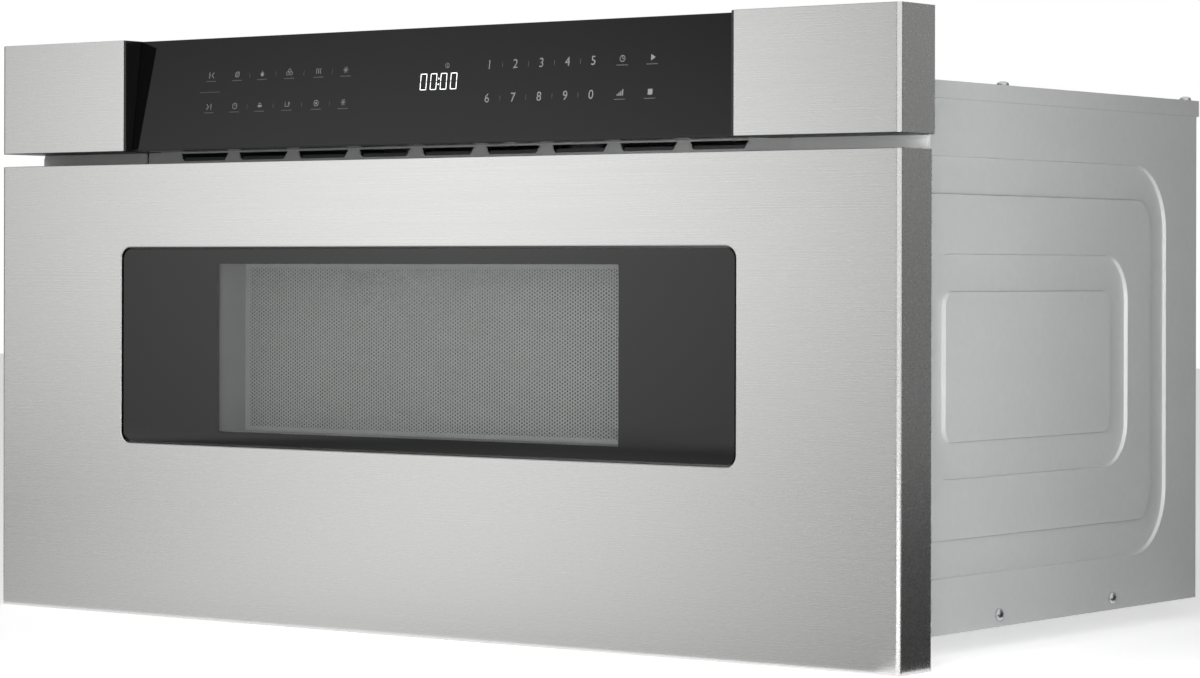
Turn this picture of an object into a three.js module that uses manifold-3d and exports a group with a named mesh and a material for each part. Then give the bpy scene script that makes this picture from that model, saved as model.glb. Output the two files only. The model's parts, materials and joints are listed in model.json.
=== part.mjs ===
// Built-in microwave drawer, 762 mm wide: a fixed chassis with the oven cavity and its electrics,
// and a motor-driven drawer (stainless front, window, tub and tray) on full-extension rails.
// Millimetres. X is to the user's right, Y runs back from the stainless front face, Z runs up from
// the underside of the base pan. The last lines move the origin to the centre of the base.
import * as THREE from 'three';
import { mergeVertices } from 'three/addons/utils/BufferGeometryUtils.js';
import Module from 'manifold-3d';

const wasm = await Module();
wasm.setup();

// ---------------------------------------------------------------- driving dimensions

const GAP = 0.3; // seating gap between neighbouring pieces
const PAST = 2; // how far a cutter runs past the face that it opens
const SHEET = 1.0; // chassis steel
const SKIN = 1.2; // stainless front sheet
const SEAT = SHEET + GAP; // height at which a piece stands on the base pan
const BASE_CENTRE_Y = 232; // middle of the base, behind the front face

const FRONT = { half: 381, low: -16, drawerTop: 299, panelLow: 308, top: 386, bend: 3 };
const DRAWER_DEPTH = 35.5; // side returns of the drawer front
const PANEL_DEPTH = 39; // side returns of the control panel
const BLOCK_INNER = 260; // inner edge of each stainless end block
const CHASSIS = { half: 356, front: 40.8, rear: 424, top: 343.5, lip: 11 };
const FLANGE = { half: 377, low: -12, top: 382, y0: 39.3, y1: 40.5 };

const WINDOW = { half: 261.9, low: 104.3, top: 240.7, radius: 7.8, rim: 4.6 };
const GLASS = { gap: 1.3, y0: 1.3, y1: 5.3 };
const SCREEN = { half: 200, y0: 32.1, low: 94, top: 250 };
const INNER_PANE = { half: 186, y0: 37.2, y1: 40.2, low: 102, top: 242 };
const BEZEL = { half: 272, low: 94, top: 251, radius: 10, thick: 3 };
const VIEW = { half: 171.5, low: 114.3, top: 229.3 }; // clear view through the door

const CAVITY = { half: 221, low: 85, top: 263, rear: 391 };
const TUB = { half: 212, low: 90, top: 228, front: 42, rear: 378, wall: 1.5, radius: 25 };
const PLUG = { half: 214, low: 90, top: 258, rear: 41.7 };
const CHOKE = { half: 234, low: 70, top: 278, y0: 34.5, y1: 38.6 };
const DOOR_PLATE = { y0: 33, y1: 34.2 };

const RACK = { half: 8, back: 60, neck: 18, rear: 392 };
const RAIL = { low: 98, top: 138, web: 252.4, lip: 241.5, front: 44, rear: 400, sheet: 1.2 };
const FEED = { y: 205, half: 35, low: 264.3, top: 299, end: 265.7, start: -45, port: 30 };
const SHAFT = { radius: 3, play: 0.6 }; // of the stirrer and the fan
const ANTENNA = { radius: 8, reach: 22 };
const LAMP = { x: -160, y: 120, hole: 10 };

const GEAR = { module: 2, teeth: 16, y: 62, z: 31.75, half: 6, backlash: 0.5 };
const GEAR_RADIUS = (GEAR.module * GEAR.teeth) / 2;
const FAN = { y: 105, z: 190, radius: 36, x0: 282, x1: 322 };
const SWITCH = { x: -290, y0: 56, y1: 76, heights: [190, 212], plunger: 2 };
const SCREW = { head: 4, height: 2.8, shank: 1.9, hole: 2.3, length: 6.5 };
const TOP_SCREWS_Y = [170, 417];
const TOP_SCREW_X = 351;
const SIDE_SCREWS_Y = [157, 304];
const SIDE_SCREW_Z = 8;
const CORD_HOLE = { x: -300, z: 60, radius: 9 };

// ---------------------------------------------------------------- materials

const steel = (color, roughness = 0.35) =>
  new THREE.MeshStandardMaterial({ color, roughness, metalness: 1 });
const plastic = (color, roughness = 0.5) =>
  new THREE.MeshStandardMaterial({ color, roughness, metalness: 0 });

const MATERIAL = {
  stainless: steel('#c9c9c8', 0.3),
  galvanised: steel('#b4b5b6', 0.45),
  zinc: steel('#c4c6c8', 0.3),
  painted: plastic('#9c9d9f', 0.45),
  enamel: plastic('#b9bbbc', 0.3),
  blackGlass: plastic('#1b1b1c', 0.06),
  blackPlastic: plastic('#161617', 0.35),
  board: plastic('#1f5a3a', 0.6),
  copper: steel('#b0683a', 0.35),
  laminated: steel('#5d5e60', 0.6),
  ceramic: plastic('#e8e6df', 0.25),
  nylon: plastic('#e4e0d4', 0.5),
  aluminium: steel('#c3c6c9', 0.4),
};

// ---------------------------------------------------------------- geometry helpers

/** A closed three.js geometry as a solid that can be joined and cut. */
function solid(geometry) {
  const bare = geometry.clone();
  for (const name of Object.keys(bare.attributes)) {
    if (name !== 'position') bare.deleteAttribute(name);
  }
  const merged = mergeVertices(bare, 1e-4);
  const vertProperties = new Float32Array(merged.attributes.position.array);
  const triVerts = new Uint32Array(merged.index.array);
  return new wasm.Manifold(new wasm.Mesh({ numProp: 3, vertProperties, triVerts }));
}

/** Joins the geometries in `plus` and cuts away those in `minus`. */
function shaped(plus, minus = []) {
  let body = plus.map(solid).reduce((a, b) => a.add(b));
  for (const cutter of minus) body = body.subtract(solid(cutter));
  const mesh = body.getMesh();
  const geometry = new THREE.BufferGeometry();
  geometry.setAttribute('position', new THREE.BufferAttribute(mesh.vertProperties, 3));
  geometry.setIndex(new THREE.BufferAttribute(mesh.triVerts, 1));
  geometry.computeVertexNormals();
  return geometry;
}

function box([x0, x1], [y0, y1], [z0, z1]) {
  const geometry = new THREE.BoxGeometry(Math.abs(x1 - x0), y1 - y0, z1 - z0);
  return geometry.translate((x0 + x1) / 2, (y0 + y1) / 2, (z0 + z1) / 2);
}

/** A box that spans x0..x1 on the right (side 1) or its mirror image on the left (side -1). */
const sideBox = (side, [x0, x1], ys, zs) => box([side * x0, side * x1], ys, zs);

function polygon(points) {
  return new THREE.Shape(points.map(([u, v]) => new THREE.Vector2(u, v)));
}

function roundedRect(u0, u1, v0, v1, radius) {
  const shape = new THREE.Shape();
  shape.moveTo(u0 + radius, v0);
  shape.absarc(u1 - radius, v0 + radius, radius, -Math.PI / 2, 0, false);
  shape.absarc(u1 - radius, v1 - radius, radius, 0, Math.PI / 2, false);
  shape.absarc(u0 + radius, v1 - radius, radius, Math.PI / 2, Math.PI, false);
  shape.absarc(u0 + radius, v0 + radius, radius, Math.PI, Math.PI * 1.5, false);
  return shape;
}

function extrude(shape, depth, curveSegments = 4) {
  return new THREE.ExtrudeGeometry(shape, { depth, bevelEnabled: false, curveSegments });
}

/** A shape drawn in (X, Y) and raised along Z. */
const alongZ = (shape, [z0, z1], curve) => extrude(shape, z1 - z0, curve).translate(0, 0, z0);

/** A shape drawn in (X, Z) and carried back along Y. */
function alongY(shape, [y0, y1], curve) {
  return extrude(shape, y1 - y0, curve).rotateX(Math.PI / 2).translate(0, y1, 0);
}

/** A shape drawn in (Y, Z) and carried along X. */
function alongX(shape, [x0, x1], curve) {
  const turn = new THREE.Matrix4().makeBasis(
    new THREE.Vector3(0, 1, 0),
    new THREE.Vector3(0, 0, 1),
    new THREE.Vector3(1, 0, 0),
  );
  return extrude(shape, x1 - x0, curve).applyMatrix4(turn).translate(x0, 0, 0);
}

function cylinderX(radius, [x0, x1], y, z, sides = 16) {
  const geometry = new THREE.CylinderGeometry(radius, radius, Math.abs(x1 - x0), sides);
  return geometry.rotateZ(Math.PI / 2).translate((x0 + x1) / 2, y, z);
}

function cylinderY(radius, [y0, y1], x, z, sides = 16) {
  return new THREE.CylinderGeometry(radius, radius, y1 - y0, sides).translate(x, (y0 + y1) / 2, z);
}

function cylinderZ(radius, [z0, z1], x, y, sides = 16) {
  const geometry = new THREE.CylinderGeometry(radius, radius, z1 - z0, sides);
  return geometry.rotateX(Math.PI / 2).translate(x, y, (z0 + z1) / 2);
}

/** A body turned about Z from (radius, height) pairs that start and end on the axis. */
function turned(profile, sides = 20) {
  const points = profile.map(([r, h]) => new THREE.Vector2(r, h));
  return new THREE.LatheGeometry(points, sides).rotateX(Math.PI / 2);
}

const chassis = new THREE.Group();
const drawer = new THREE.Group();

function piece(parent, name, geometry, material) {
  const mesh = new THREE.Mesh(geometry, material);
  mesh.name = name;
  parent.add(mesh);
  return mesh;
}

const sideName = (side) => (side > 0 ? 'right' : 'left');
const SIDES = [1, -1];

// ---------------------------------------------------------------- chassis sheet metal

function basePan() {
  const half = CHASSIS.half - SHEET - GAP;
  const rear = CHASSIS.rear - SHEET - GAP;
  const ys = [CHASSIS.front, rear];
  const upstand = 18;
  const walls = SIDES.map((side) => sideBox(side, [half - SHEET, half], ys, [0, upstand]));
  const holes = SIDES.flatMap((side) =>
    SIDE_SCREWS_Y.map((y) => {
      return cylinderX(SCREW.hole, [side * (half - PAST), side * (half + PAST)], y, SIDE_SCREW_Z);
    }),
  );
  const back = box([-half, half], [rear - SHEET, rear], [0, upstand]);
  piece(chassis, 'base_pan', shaped([box([-half, half], ys, [0, SHEET]), ...walls, back], holes),
    MATERIAL.galvanised);
}

// Each side panel is stiffened by two nested pressed bands, 2.3 mm deep. The outer band runs out
// at the front edge. Rows are the loops, from the outermost inwards.
const BAND_DEPTH = 2.3;
const BANDS = [
  { front: 20, rear: 380, low: 34.7, top: 297.2, radius: 44 },
  { front: 20, rear: 358, low: 58.5, top: 273.1, radius: 19 },
  { front: 68, rear: 326, low: 95.4, top: 236.4, radius: 30 },
  { front: 93, rear: 302, low: 119.1, top: 212.2, radius: 9 },
];

function sidePanel(side) {
  const outer = CHASSIS.half;
  const top = CHASSIS.top - SHEET - GAP;
  const loop = ({ front, rear, low, top: high, radius }, grow = 0) =>
    roundedRect(front - grow, rear + grow, low - grow, high + grow, radius + grow);
  const span = (x0, x1) => (side > 0 ? [x0, x1] : [-x1, -x0]);
  const ring = (big, small, xs) =>
    shaped([alongX(big, xs)], [alongX(small, [xs[0] - PAST, xs[1] + PAST])]);
  const full = sideBox(side, [outer - BAND_DEPTH - SHEET, outer], [CHASSIS.front, CHASSIS.rear],
    [0, top]);
  const outside = span(outer - BAND_DEPTH, outer + PAST);
  const inside = span(outer - BAND_DEPTH - SHEET - PAST, outer - SHEET);
  const aroundAll = roundedRect(0, CHASSIS.rear + PAST, -PAST, top + PAST, SHEET);
  const cuts = [
    ring(loop(BANDS[0]), loop(BANDS[1]), outside),
    ring(loop(BANDS[2]), loop(BANDS[3]), outside),
    ring(aroundAll, loop(BANDS[0], SHEET), inside),
    ring(loop(BANDS[1], -SHEET), loop(BANDS[2], SHEET), inside),
    alongX(loop(BANDS[3], -SHEET), inside),
    ...SIDE_SCREWS_Y.map((y) =>
      cylinderX(SCREW.hole, [side * (outer - SHEET - PAST), side * (outer + PAST)], y, SIDE_SCREW_Z)),
  ];
  const fold = 13;
  const foldedTop = sideBox(side, [outer - fold, outer - SHEET / 2],
    [CHASSIS.front, CHASSIS.rear - SHEET - GAP], [top - SHEET, top]);
  const tapped = TOP_SCREWS_Y.map((y) =>
    cylinderZ(SCREW.hole, [top - PAST, top + PAST], side * TOP_SCREW_X, y));
  const pressed = shaped([full], cuts);
  piece(chassis, `${sideName(side)}_side_panel`, shaped([pressed, foldedTop], tapped),
    MATERIAL.galvanised);
}

function rearPanel() {
  const half = CHASSIS.half - SHEET - GAP;
  const ys = [CHASSIS.rear - SHEET, CHASSIS.rear];
  const through = [ys[0] - PAST, ys[1] + PAST];
  const slot = { long: 58, tall: 5, pitch: 12, rows: 7, low: 220, centres: [-226, -154, 154, 226] };
  const cuts = [cylinderY(CORD_HOLE.radius, through, CORD_HOLE.x, CORD_HOLE.z)];
  for (const centre of slot.centres) {
    for (let row = 0; row < slot.rows; row += 1) {
      const z = slot.low + row * slot.pitch;
      cuts.push(box([centre - slot.long / 2, centre + slot.long / 2], through, [z, z + slot.tall]));
    }
  }
  const sheet = box([-half, half], ys, [0, CHASSIS.top - SHEET - GAP]);
  piece(chassis, 'rear_panel', shaped([sheet], cuts), MATERIAL.galvanised);
}

function topCover() {
  const outer = CHASSIS.half + GAP + SHEET;
  const rear = CHASSIS.rear + GAP + SHEET;
  const low = CHASSIS.top - CHASSIS.lip;
  const shell = box([-outer, outer], [CHASSIS.front, rear], [low, CHASSIS.top]);
  const hollow = box([SHEET - outer, outer - SHEET], [CHASSIS.front - PAST, rear - SHEET],
    [low - PAST, CHASSIS.top - SHEET]);
  const holes = SIDES.flatMap((side) =>
    TOP_SCREWS_Y.map((y) =>
      cylinderZ(SCREW.hole, [CHASSIS.top - PAST, CHASSIS.top + PAST], side * TOP_SCREW_X, y)),
  );
  piece(chassis, 'top_cover', shaped([shell], [hollow, ...holes]), MATERIAL.galvanised);
}

const RAIL_SLOT = { x0: 239.5, x1: 252, low: 99, top: 137 };
const RACK_SLOT = { half: 10.5, low: 43, top: 62.5 };
const STRIKER_SLOT = { x0: -295, x1: -285, low: 180, top: 222 };
// The strip behind each edge of the flange bears on the cabinet stile and takes its screws.
const STILE = { x0: 360, x1: 372, low: 20, top: 345, back: 41.5, hole: 2.3, screws: [70, 295] };
const BOARD_WINDOW = { half: 40, low: 330, top: 360, radius: 4 }; // lets the display board's wires through
const CORNER = 1; // radius in the corners of small openings

// The strip in the gap over the drawer: a middle section set back in the front frame, with the vents,
// and a section at each end that stands in front of the frame.
const STRIP = { low: 293, stepZ: 305.7, step: 0.6, thick: 1, middle: 276.7, middleY: 40.4, endY: 37.8 };
const STRIP_TOP = { middle: 309.7, end: FRONT.panelLow - GAP };
const JOINT = { x0: 274.4, x1: 275.7, deep: 0.6 };
const VENT = { count: 9, pitch: 55.2, wide: 45.5, narrow: 38.8, corner: 1.5, low: 302, top: 307.2 };

function frontFrame() {
  const plate = roundedRect(-FLANGE.half, FLANGE.half, FLANGE.low, FLANGE.top, 2);
  const hole = (x0, x1, z0, z1, radius = CORNER) =>
    plate.holes.push(roundedRect(x0, x1, z0, z1, radius));
  hole(-CAVITY.half, CAVITY.half, CAVITY.low, CAVITY.top, 4);
  for (const [x0, x1] of [[RAIL_SLOT.x0, RAIL_SLOT.x1], [-RAIL_SLOT.x1, -RAIL_SLOT.x0]]) {
    hole(x0, x1, RAIL_SLOT.low, RAIL_SLOT.top);
  }
  hole(-RACK_SLOT.half, RACK_SLOT.half, RACK_SLOT.low, RACK_SLOT.top);
  hole(STRIKER_SLOT.x0, STRIKER_SLOT.x1, STRIKER_SLOT.low, STRIKER_SLOT.top);
  hole(-STRIP.middle - GAP, STRIP.middle + GAP, STRIP.low - GAP, STRIP_TOP.middle + GAP);
  hole(-BOARD_WINDOW.half, BOARD_WINDOW.half, BOARD_WINDOW.low, BOARD_WINDOW.top,
    BOARD_WINDOW.radius);
  const strips = SIDES.map((side) =>
    sideBox(side, [STILE.x0, STILE.x1], [FLANGE.y1 - 0.5, STILE.back], [STILE.low, STILE.top]));
  const screwHoles = SIDES.flatMap((side) =>
    STILE.screws.map((z) =>
      cylinderY(STILE.hole, [FLANGE.y0 - PAST, STILE.back + PAST], (side * (STILE.x0 + STILE.x1)) / 2,
        z, 12)));
  piece(chassis, 'front_frame',
    shaped([alongY(plate, [FLANGE.y0, FLANGE.y1], 3), ...strips], screwHoles), MATERIAL.galvanised);
}

/** Profile of one strip section: its upper part is set back by the height of the step. */
function stripProfile(front, top) {
  const { low, stepZ, step, thick } = STRIP;
  return polygon([
    [front, low], [front + thick, low], [front + thick, stepZ - thick],
    [front + thick + step, stepZ - thick], [front + thick + step, top],
    [front + step, top], [front + step, stepZ], [front, stepZ],
  ]);
}

function ventStrip() {
  const { low, thick, step, middle, middleY, endY } = STRIP;
  const endThick = FLANGE.y0 - GAP - endY - step;
  const sections = [
    alongX(stripProfile(middleY, STRIP_TOP.middle), [-middle, middle]),
    ...SIDES.flatMap((side) => [
      sideBox(side, [JOINT.x1, FLANGE.half], [endY, endY + endThick], [low, STRIP.stepZ]),
      sideBox(side, [JOINT.x1, FLANGE.half], [endY + step, FLANGE.y0 - GAP], [low, STRIP_TOP.end]),
      sideBox(side, [JOINT.x1, middle], [endY, middleY + thick], [low, STRIP.stepZ]),
      sideBox(side, [JOINT.x1, middle], [endY + step, middleY + thick], [low, STRIP_TOP.end]),
    ]),
  ];
  const through = [middleY - PAST, middleY + thick + step + PAST];
  const cuts = [];
  for (let i = 0; i < VENT.count; i += 1) {
    const x = (i - (VENT.count - 1) / 2) * VENT.pitch;
    const boat = polygon([
      [x - VENT.wide / 2, VENT.top], [x - VENT.narrow / 2 - VENT.corner, VENT.low + VENT.corner],
      [x - VENT.narrow / 2, VENT.low], [x + VENT.narrow / 2, VENT.low],
      [x + VENT.narrow / 2 + VENT.corner, VENT.low + VENT.corner], [x + VENT.wide / 2, VENT.top],
    ]);
    cuts.push(alongY(boat, through));
  }
  for (const side of SIDES) {
    const joint = [JOINT.x0, JOINT.x1];
    cuts.push(sideBox(side, joint, [endY, middleY + JOINT.deep], [low - PAST, STRIP.stepZ]));
    cuts.push(sideBox(side, joint, [endY, middleY + step + JOINT.deep],
      [STRIP.stepZ - thick, STRIP_TOP.middle + PAST]));
  }
  piece(chassis, 'vent_strip', shaped(sections, cuts), MATERIAL.galvanised);
}

// ---------------------------------------------------------------- control panel

// The black glass leans back: 6.5 mm behind the front at its foot, 16.3 mm at its head.
const LEAN = { foot: 6.5, head: 16.3, thick: 3 };
const leanAt = (z) =>
  LEAN.foot + ((z - FRONT.panelLow) / (FRONT.top - FRONT.panelLow)) * (LEAN.head - LEAN.foot);
const PANEL_Z = [FRONT.panelLow + GAP, FRONT.top - GAP];
const CHEEK = 1.5; // black cheek at each end of the recess

function leaningSlab(from, to, [z0, z1]) {
  return polygon([
    [leanAt(z0) + from, z0], [leanAt(z0) + to, z0], [leanAt(z1) + to, z1], [leanAt(z1) + from, z1],
  ]);
}

const DISPLAY = { x0: -8, x1: 40, y0: 22, y1: 25, z0: 340, z1: 359 };

function controlPanel() {
  const glassHalf = BLOCK_INNER - GAP - CHEEK - GAP;
  piece(chassis, 'control_glass',
    alongX(leaningSlab(0, LEAN.thick, PANEL_Z), [-glassHalf, glassHalf]), MATERIAL.blackGlass);

  const half = BLOCK_INNER - GAP;
  const setBack = 0.6; // cheeks behind the stainless face
  const block = box([-half, half], [setBack, PANEL_DEPTH - GAP / 2], PANEL_Z);
  const [low, top] = PANEL_Z;
  const behindGlass = LEAN.thick + GAP;
  const beforeGlass = alongX(polygon([
    [-PAST, low - PAST], [leanAt(low - PAST) + behindGlass, low - PAST],
    [leanAt(top + PAST) + behindGlass, top + PAST], [-PAST, top + PAST],
  ]), [CHEEK - half, half - CHEEK]);
  const wall = 2.5;
  const pocketFront = (z) => leanAt(z) + behindGlass + wall;
  const pocket = alongX(polygon([
    [pocketFront(low + wall), low + wall], [PANEL_DEPTH + PAST, low + wall],
    [PANEL_DEPTH + PAST, top - wall], [pocketFront(top - wall), top - wall],
  ]), [wall - half, half - wall]);
  const displayHole = box([DISPLAY.x0, DISPLAY.x1], [LEAN.foot, DISPLAY.y1], [DISPLAY.z0, DISPLAY.z1]);
  piece(chassis, 'control_housing', shaped([block], [beforeGlass, pocket, displayHole]),
    MATERIAL.blackPlastic);

  const board = { y: 30, thick: 1.6, half: 235, low: 318, top: 376, join: 0.5 };
  const sheet = box([-board.half, board.half], [board.y, board.y + board.thick], [board.low, board.top]);
  const module = box([DISPLAY.x0 + 1, DISPLAY.x1 - 1], [DISPLAY.y0, board.y + board.join],
    [DISPLAY.z0 + 1, DISPLAY.z1 - 1]);
  const chip = { wide: 18, deep: 2.5, low: 338, top: 350 };
  const chips = [-160, -100, 90, 170].map((x) =>
    box([x, x + chip.wide], [board.y - chip.deep, board.y + board.join], [chip.low, chip.top]));
  const post = { x: 228, z: 347, radius: 3 };
  const posts = SIDES.map((side) =>
    cylinderY(post.radius, [board.y + board.join, PANEL_DEPTH - GAP], side * post.x, post.z, 8));
  piece(chassis, 'display_board', shaped([sheet, module, ...chips, ...posts]), MATERIAL.board);
}

function trimBlock(side) {
  const xs = [BLOCK_INNER, FRONT.half];
  const { bend, half, panelLow, top } = FRONT;
  const outline = new THREE.Shape();
  outline.moveTo(side * xs[0], 0);
  outline.lineTo(side * (half - bend), 0);
  outline.absarc(side * (half - bend), bend, bend, -Math.PI / 2, side > 0 ? 0 : -Math.PI, side < 0);
  outline.lineTo(side * half, PANEL_DEPTH);
  outline.lineTo(side * xs[0], PANEL_DEPTH);
  const shell = alongZ(outline, [panelLow, top], 5);
  const hollow = sideBox(side, [xs[0] + SKIN, xs[1] - SKIN], [SKIN, PANEL_DEPTH + PAST],
    [panelLow + SKIN, top - SKIN]);
  piece(chassis, `${sideName(side)}_trim_block`, shaped([shell], [hollow]), MATERIAL.stainless);
}

// ---------------------------------------------------------------- oven cavity and microwave feed

function cavityLiner() {
  const { half, low, top, rear } = CAVITY;
  const shell = box([-half - SHEET, half + SHEET], [CHASSIS.front, rear + SHEET],
    [low - SHEET, top + SHEET]);
  const hollow = box([-half, half], [CHASSIS.front - PAST, rear], [low, top]);
  const roof = [top - PAST, top + SHEET + PAST];
  const feedHole = box([-FEED.port, FEED.port], [FEED.y - FEED.port, FEED.y + FEED.port], roof);
  const lampHole = cylinderZ(LAMP.hole, roof, LAMP.x, LAMP.y);
  const slot = { count: 6, pitch: 12, wide: 5, low: 205, top: 250, inlet: 190, outlet: 300 };
  const airSlots = SIDES.flatMap((side) => {
    const start = side > 0 ? slot.inlet : slot.outlet;
    return Array.from({ length: slot.count }, (_, i) =>
      sideBox(side, [half - PAST, half + SHEET + PAST],
        [start + i * slot.pitch, start + i * slot.pitch + slot.wide], [slot.low, slot.top]));
  });
  piece(chassis, 'cavity_liner', shaped([shell], [hollow, feedHole, lampHole, ...airSlots]),
    MATERIAL.enamel);
}

function waveFeed() {
  const { y, half, low, top, start, end } = FEED;
  const duct = box([start, end], [y - half, y + half], [low, top]);
  const bore = box([start + SHEET, end - SHEET], [y - half + SHEET, y + half - SHEET],
    [low + SHEET, top - SHEET]);
  const floorPort = FEED.port - 2;
  const floorHole = box([-floorPort, floorPort], [y - floorPort, y + floorPort],
    [low - PAST, low + PAST]);
  const shaftHole = cylinderZ(SHAFT.radius + 1.5, [top - PAST, top + PAST], 0, y);
  const antennaHole = cylinderX(ANTENNA.radius + 4, [end - PAST, end + PAST], y, (low + top) / 2, 20);
  piece(chassis, 'waveguide', shaped([duct], [bore, floorHole, shaftHole, antennaHole]),
    MATERIAL.galvanised);

  const can = { radius: 24, height: 18, ear: 32, earHalf: 7, earThick: 1.5, bore: 14 };
  const motor = shaped(
    [cylinderZ(can.radius, [top + GAP, top + can.height], 0, y, 24),
      box([-can.ear, can.ear], [y - can.earHalf, y + can.earHalf],
        [top + GAP, top + GAP + can.earThick])],
    [cylinderZ(SHAFT.radius + SHAFT.play, [top - PAST, top + can.bore], 0, y, 12)]);
  piece(chassis, 'stirrer_motor', motor, MATERIAL.zinc);

  const blade = { count: 4, long: 50, wide: 24, thick: 1.5, out: 28, z: 252.5 };
  const blades = Array.from({ length: blade.count }, (_, i) =>
    new THREE.BoxGeometry(blade.long, blade.wide, blade.thick).translate(blade.out, 0, blade.z)
      .rotateZ((i * 2 * Math.PI) / blade.count));
  const hubZ = [250, 258];
  const hub = cylinderZ(7, hubZ, 0, 0);
  const shaft = cylinderZ(SHAFT.radius, [hubZ[1] - PAST, top + can.bore - PAST], 0, 0, 12);
  const stirrer = piece(chassis, 'stirrer', shaped([...blades, hub, shaft]), MATERIAL.aluminium);
  stirrer.position.set(0, y, 0);

  const wall = 2;
  const cover = { half: 95, y0: 110, y1: 300, low: 244 };
  const lid = box([-cover.half, cover.half], [cover.y0, cover.y1], [cover.low, CAVITY.top - GAP]);
  const room = box([wall - cover.half, cover.half - wall], [cover.y0 + wall, cover.y1 - wall],
    [cover.low + wall, CAVITY.top + PAST]);
  piece(chassis, 'stirrer_cover', shaped([lid], [room]), MATERIAL.nylon);
}

function magnetron() {
  const feedZ = (FEED.low + FEED.top) / 2;
  const rise = 18; // of the anode over the middle of the waveguide
  const half = 38;
  const [x0, x1, y0, y1] = [266, 346, 165, 245];
  const [z0, z1] = [feedZ + rise - half, feedZ + rise + half];
  const wall = 3;
  const yoke = box([x0, x1], [y0, y1], [z0, z1]);
  const through = box([x0 + wall, x1 - wall], [y0 - PAST, y1 + PAST], [z0 + wall, z1 - wall]);
  const frame = shaped([yoke], [through]);
  const fin = { count: 4, first: 16, pitch: 14, inset: 8 };
  const fins = Array.from({ length: fin.count }, (_, i) => x0 + fin.first + i * fin.pitch).map((x) =>
    box([x, x + SHEET], [y0 + fin.inset, y1 - fin.inset], [z0 + PAST, z1 - PAST]));
  const anode = cylinderX(20, [x0 + PAST, x1 - PAST], FEED.y, feedZ + rise, 12);
  const antenna = cylinderX(ANTENNA.radius, [x0 - ANTENNA.reach, x0 + 1], FEED.y, feedZ, 12);
  piece(chassis, 'magnetron', shaped([frame, ...fins, anode, antenna]), MATERIAL.aluminium);
}

function highVoltage() {
  const stack = { x0: 274, x1: 334, y0: 300, y1: 400, top: 81 };
  const opening = { low: 17, top: 65, spans: [[318, 340], [360, 382]] };
  const core = box([stack.x0, stack.x1], [stack.y0, stack.y1], [SEAT, stack.top]);
  const windows = opening.spans.map((ys) =>
    box([stack.x0 - PAST, stack.x1 + PAST], ys, [opening.low, opening.top]));
  piece(chassis, 'transformer_core', shaped([core], windows), MATERIAL.laminated);

  const clear = 0.6; // between the winding and the middle leg of the core
  const coil = { out: 10, y0: 319, y1: 381, low: opening.low + PAST, top: opening.top - PAST };
  const ring = box([stack.x0 - coil.out, stack.x1 + coil.out], [coil.y0, coil.y1], [coil.low, coil.top]);
  const leg = box([stack.x0 - clear, stack.x1 + clear],
    [opening.spans[0][1] - clear, opening.spans[1][0] + clear], [coil.low - PAST, coil.top + PAST]);
  piece(chassis, 'transformer_winding', shaped([ring], [leg]), MATERIAL.copper);

  const can = alongZ(roundedRect(278, 330, 200, 232, 15), [SEAT, 92], 4);
  const tabs = [292, 310].map((x) => box([x, x + 6], [213, 214.2], [91, 104]));
  piece(chassis, 'hv_capacitor', shaped([can, ...tabs]), MATERIAL.aluminium);
}

function cavityLamp() {
  const lamp = turned([[0, 0], [9, 0], [9, 6], [14, 8], [14, 26], [9, 30], [0, 30]]);
  const mesh = piece(chassis, 'cavity_lamp', lamp, MATERIAL.ceramic);
  mesh.position.set(LAMP.x, LAMP.y, CAVITY.top + SHEET + GAP);
}

// ---------------------------------------------------------------- cooling fan

function coolingFan() {
  const { y, z, radius, x0, x1 } = FAN;
  const scroll = radius + 10;
  const wall = 2;
  const outlet = (shrink) => box([x0 + shrink, x1 - shrink], [y, y + 60 + (shrink ? PAST : 0)],
    [z + 6 + shrink, z + scroll - shrink]);
  const outside = [cylinderX(scroll, [x0, x1], y, z, 24), outlet(0)];
  const inside = [
    cylinderX(scroll - wall, [x0 + wall, x1 - wall], y, z, 24),
    outlet(wall),
    cylinderX(radius - 8, [x0 - PAST, x0 + PAST + wall], y, z, 16),
    cylinderX(6, [x1 - PAST - wall, x1 + PAST], y, z, 12),
  ];
  const foot = box([x0 + 6, x1 - 6], [y - 30, y + 30], [SEAT, SEAT + wall]);
  const leg = box([x0 + 6, x0 + 8], [y - 30, y + 30], [2, z - 38]);
  piece(chassis, 'fan_housing', shaped([...outside, foot, leg], inside), MATERIAL.blackPlastic);

  const motor = shaped([cylinderX(24, [x1 + GAP, x1 + 24], y, z, 24)],
    [cylinderX(SHAFT.radius + SHAFT.play, [x1 - PAST, x1 + 14], y, z, 12)]);
  piece(chassis, 'fan_motor', motor, MATERIAL.zinc);

  const blades = 12;
  const [w0, w1] = [x0 + 5, x1 - 5 - wall];
  const vanes = [];
  for (let i = 0; i < blades; i += 1) {
    const vane = new THREE.BoxGeometry(w1 - w0 - 1, 9, 1.2).rotateX(0.6);
    vane.translate((w0 + w1) / 2, radius - 5.5, 0).rotateX((i * 2 * Math.PI) / blades);
    vanes.push(vane);
  }
  const endRing = shaped([cylinderX(radius - 1, [w0, w0 + 1.5], 0, 0, 24)],
    [cylinderX(radius - 9, [w0 - PAST, w0 + PAST], 0, 0, 24)]);
  const backPlate = cylinderX(radius - 1, [w1 - 2, w1], 0, 0, 24);
  const shaft = cylinderX(SHAFT.radius, [w1 - 12, x1 + 12], 0, 0, 12);
  const wheel = shaped([...vanes, endRing, backPlate, shaft]);
  piece(chassis, 'fan_wheel', wheel, MATERIAL.aluminium).position.set(0, y, z);
}

// ---------------------------------------------------------------- power board, switches, cord inlet

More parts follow.
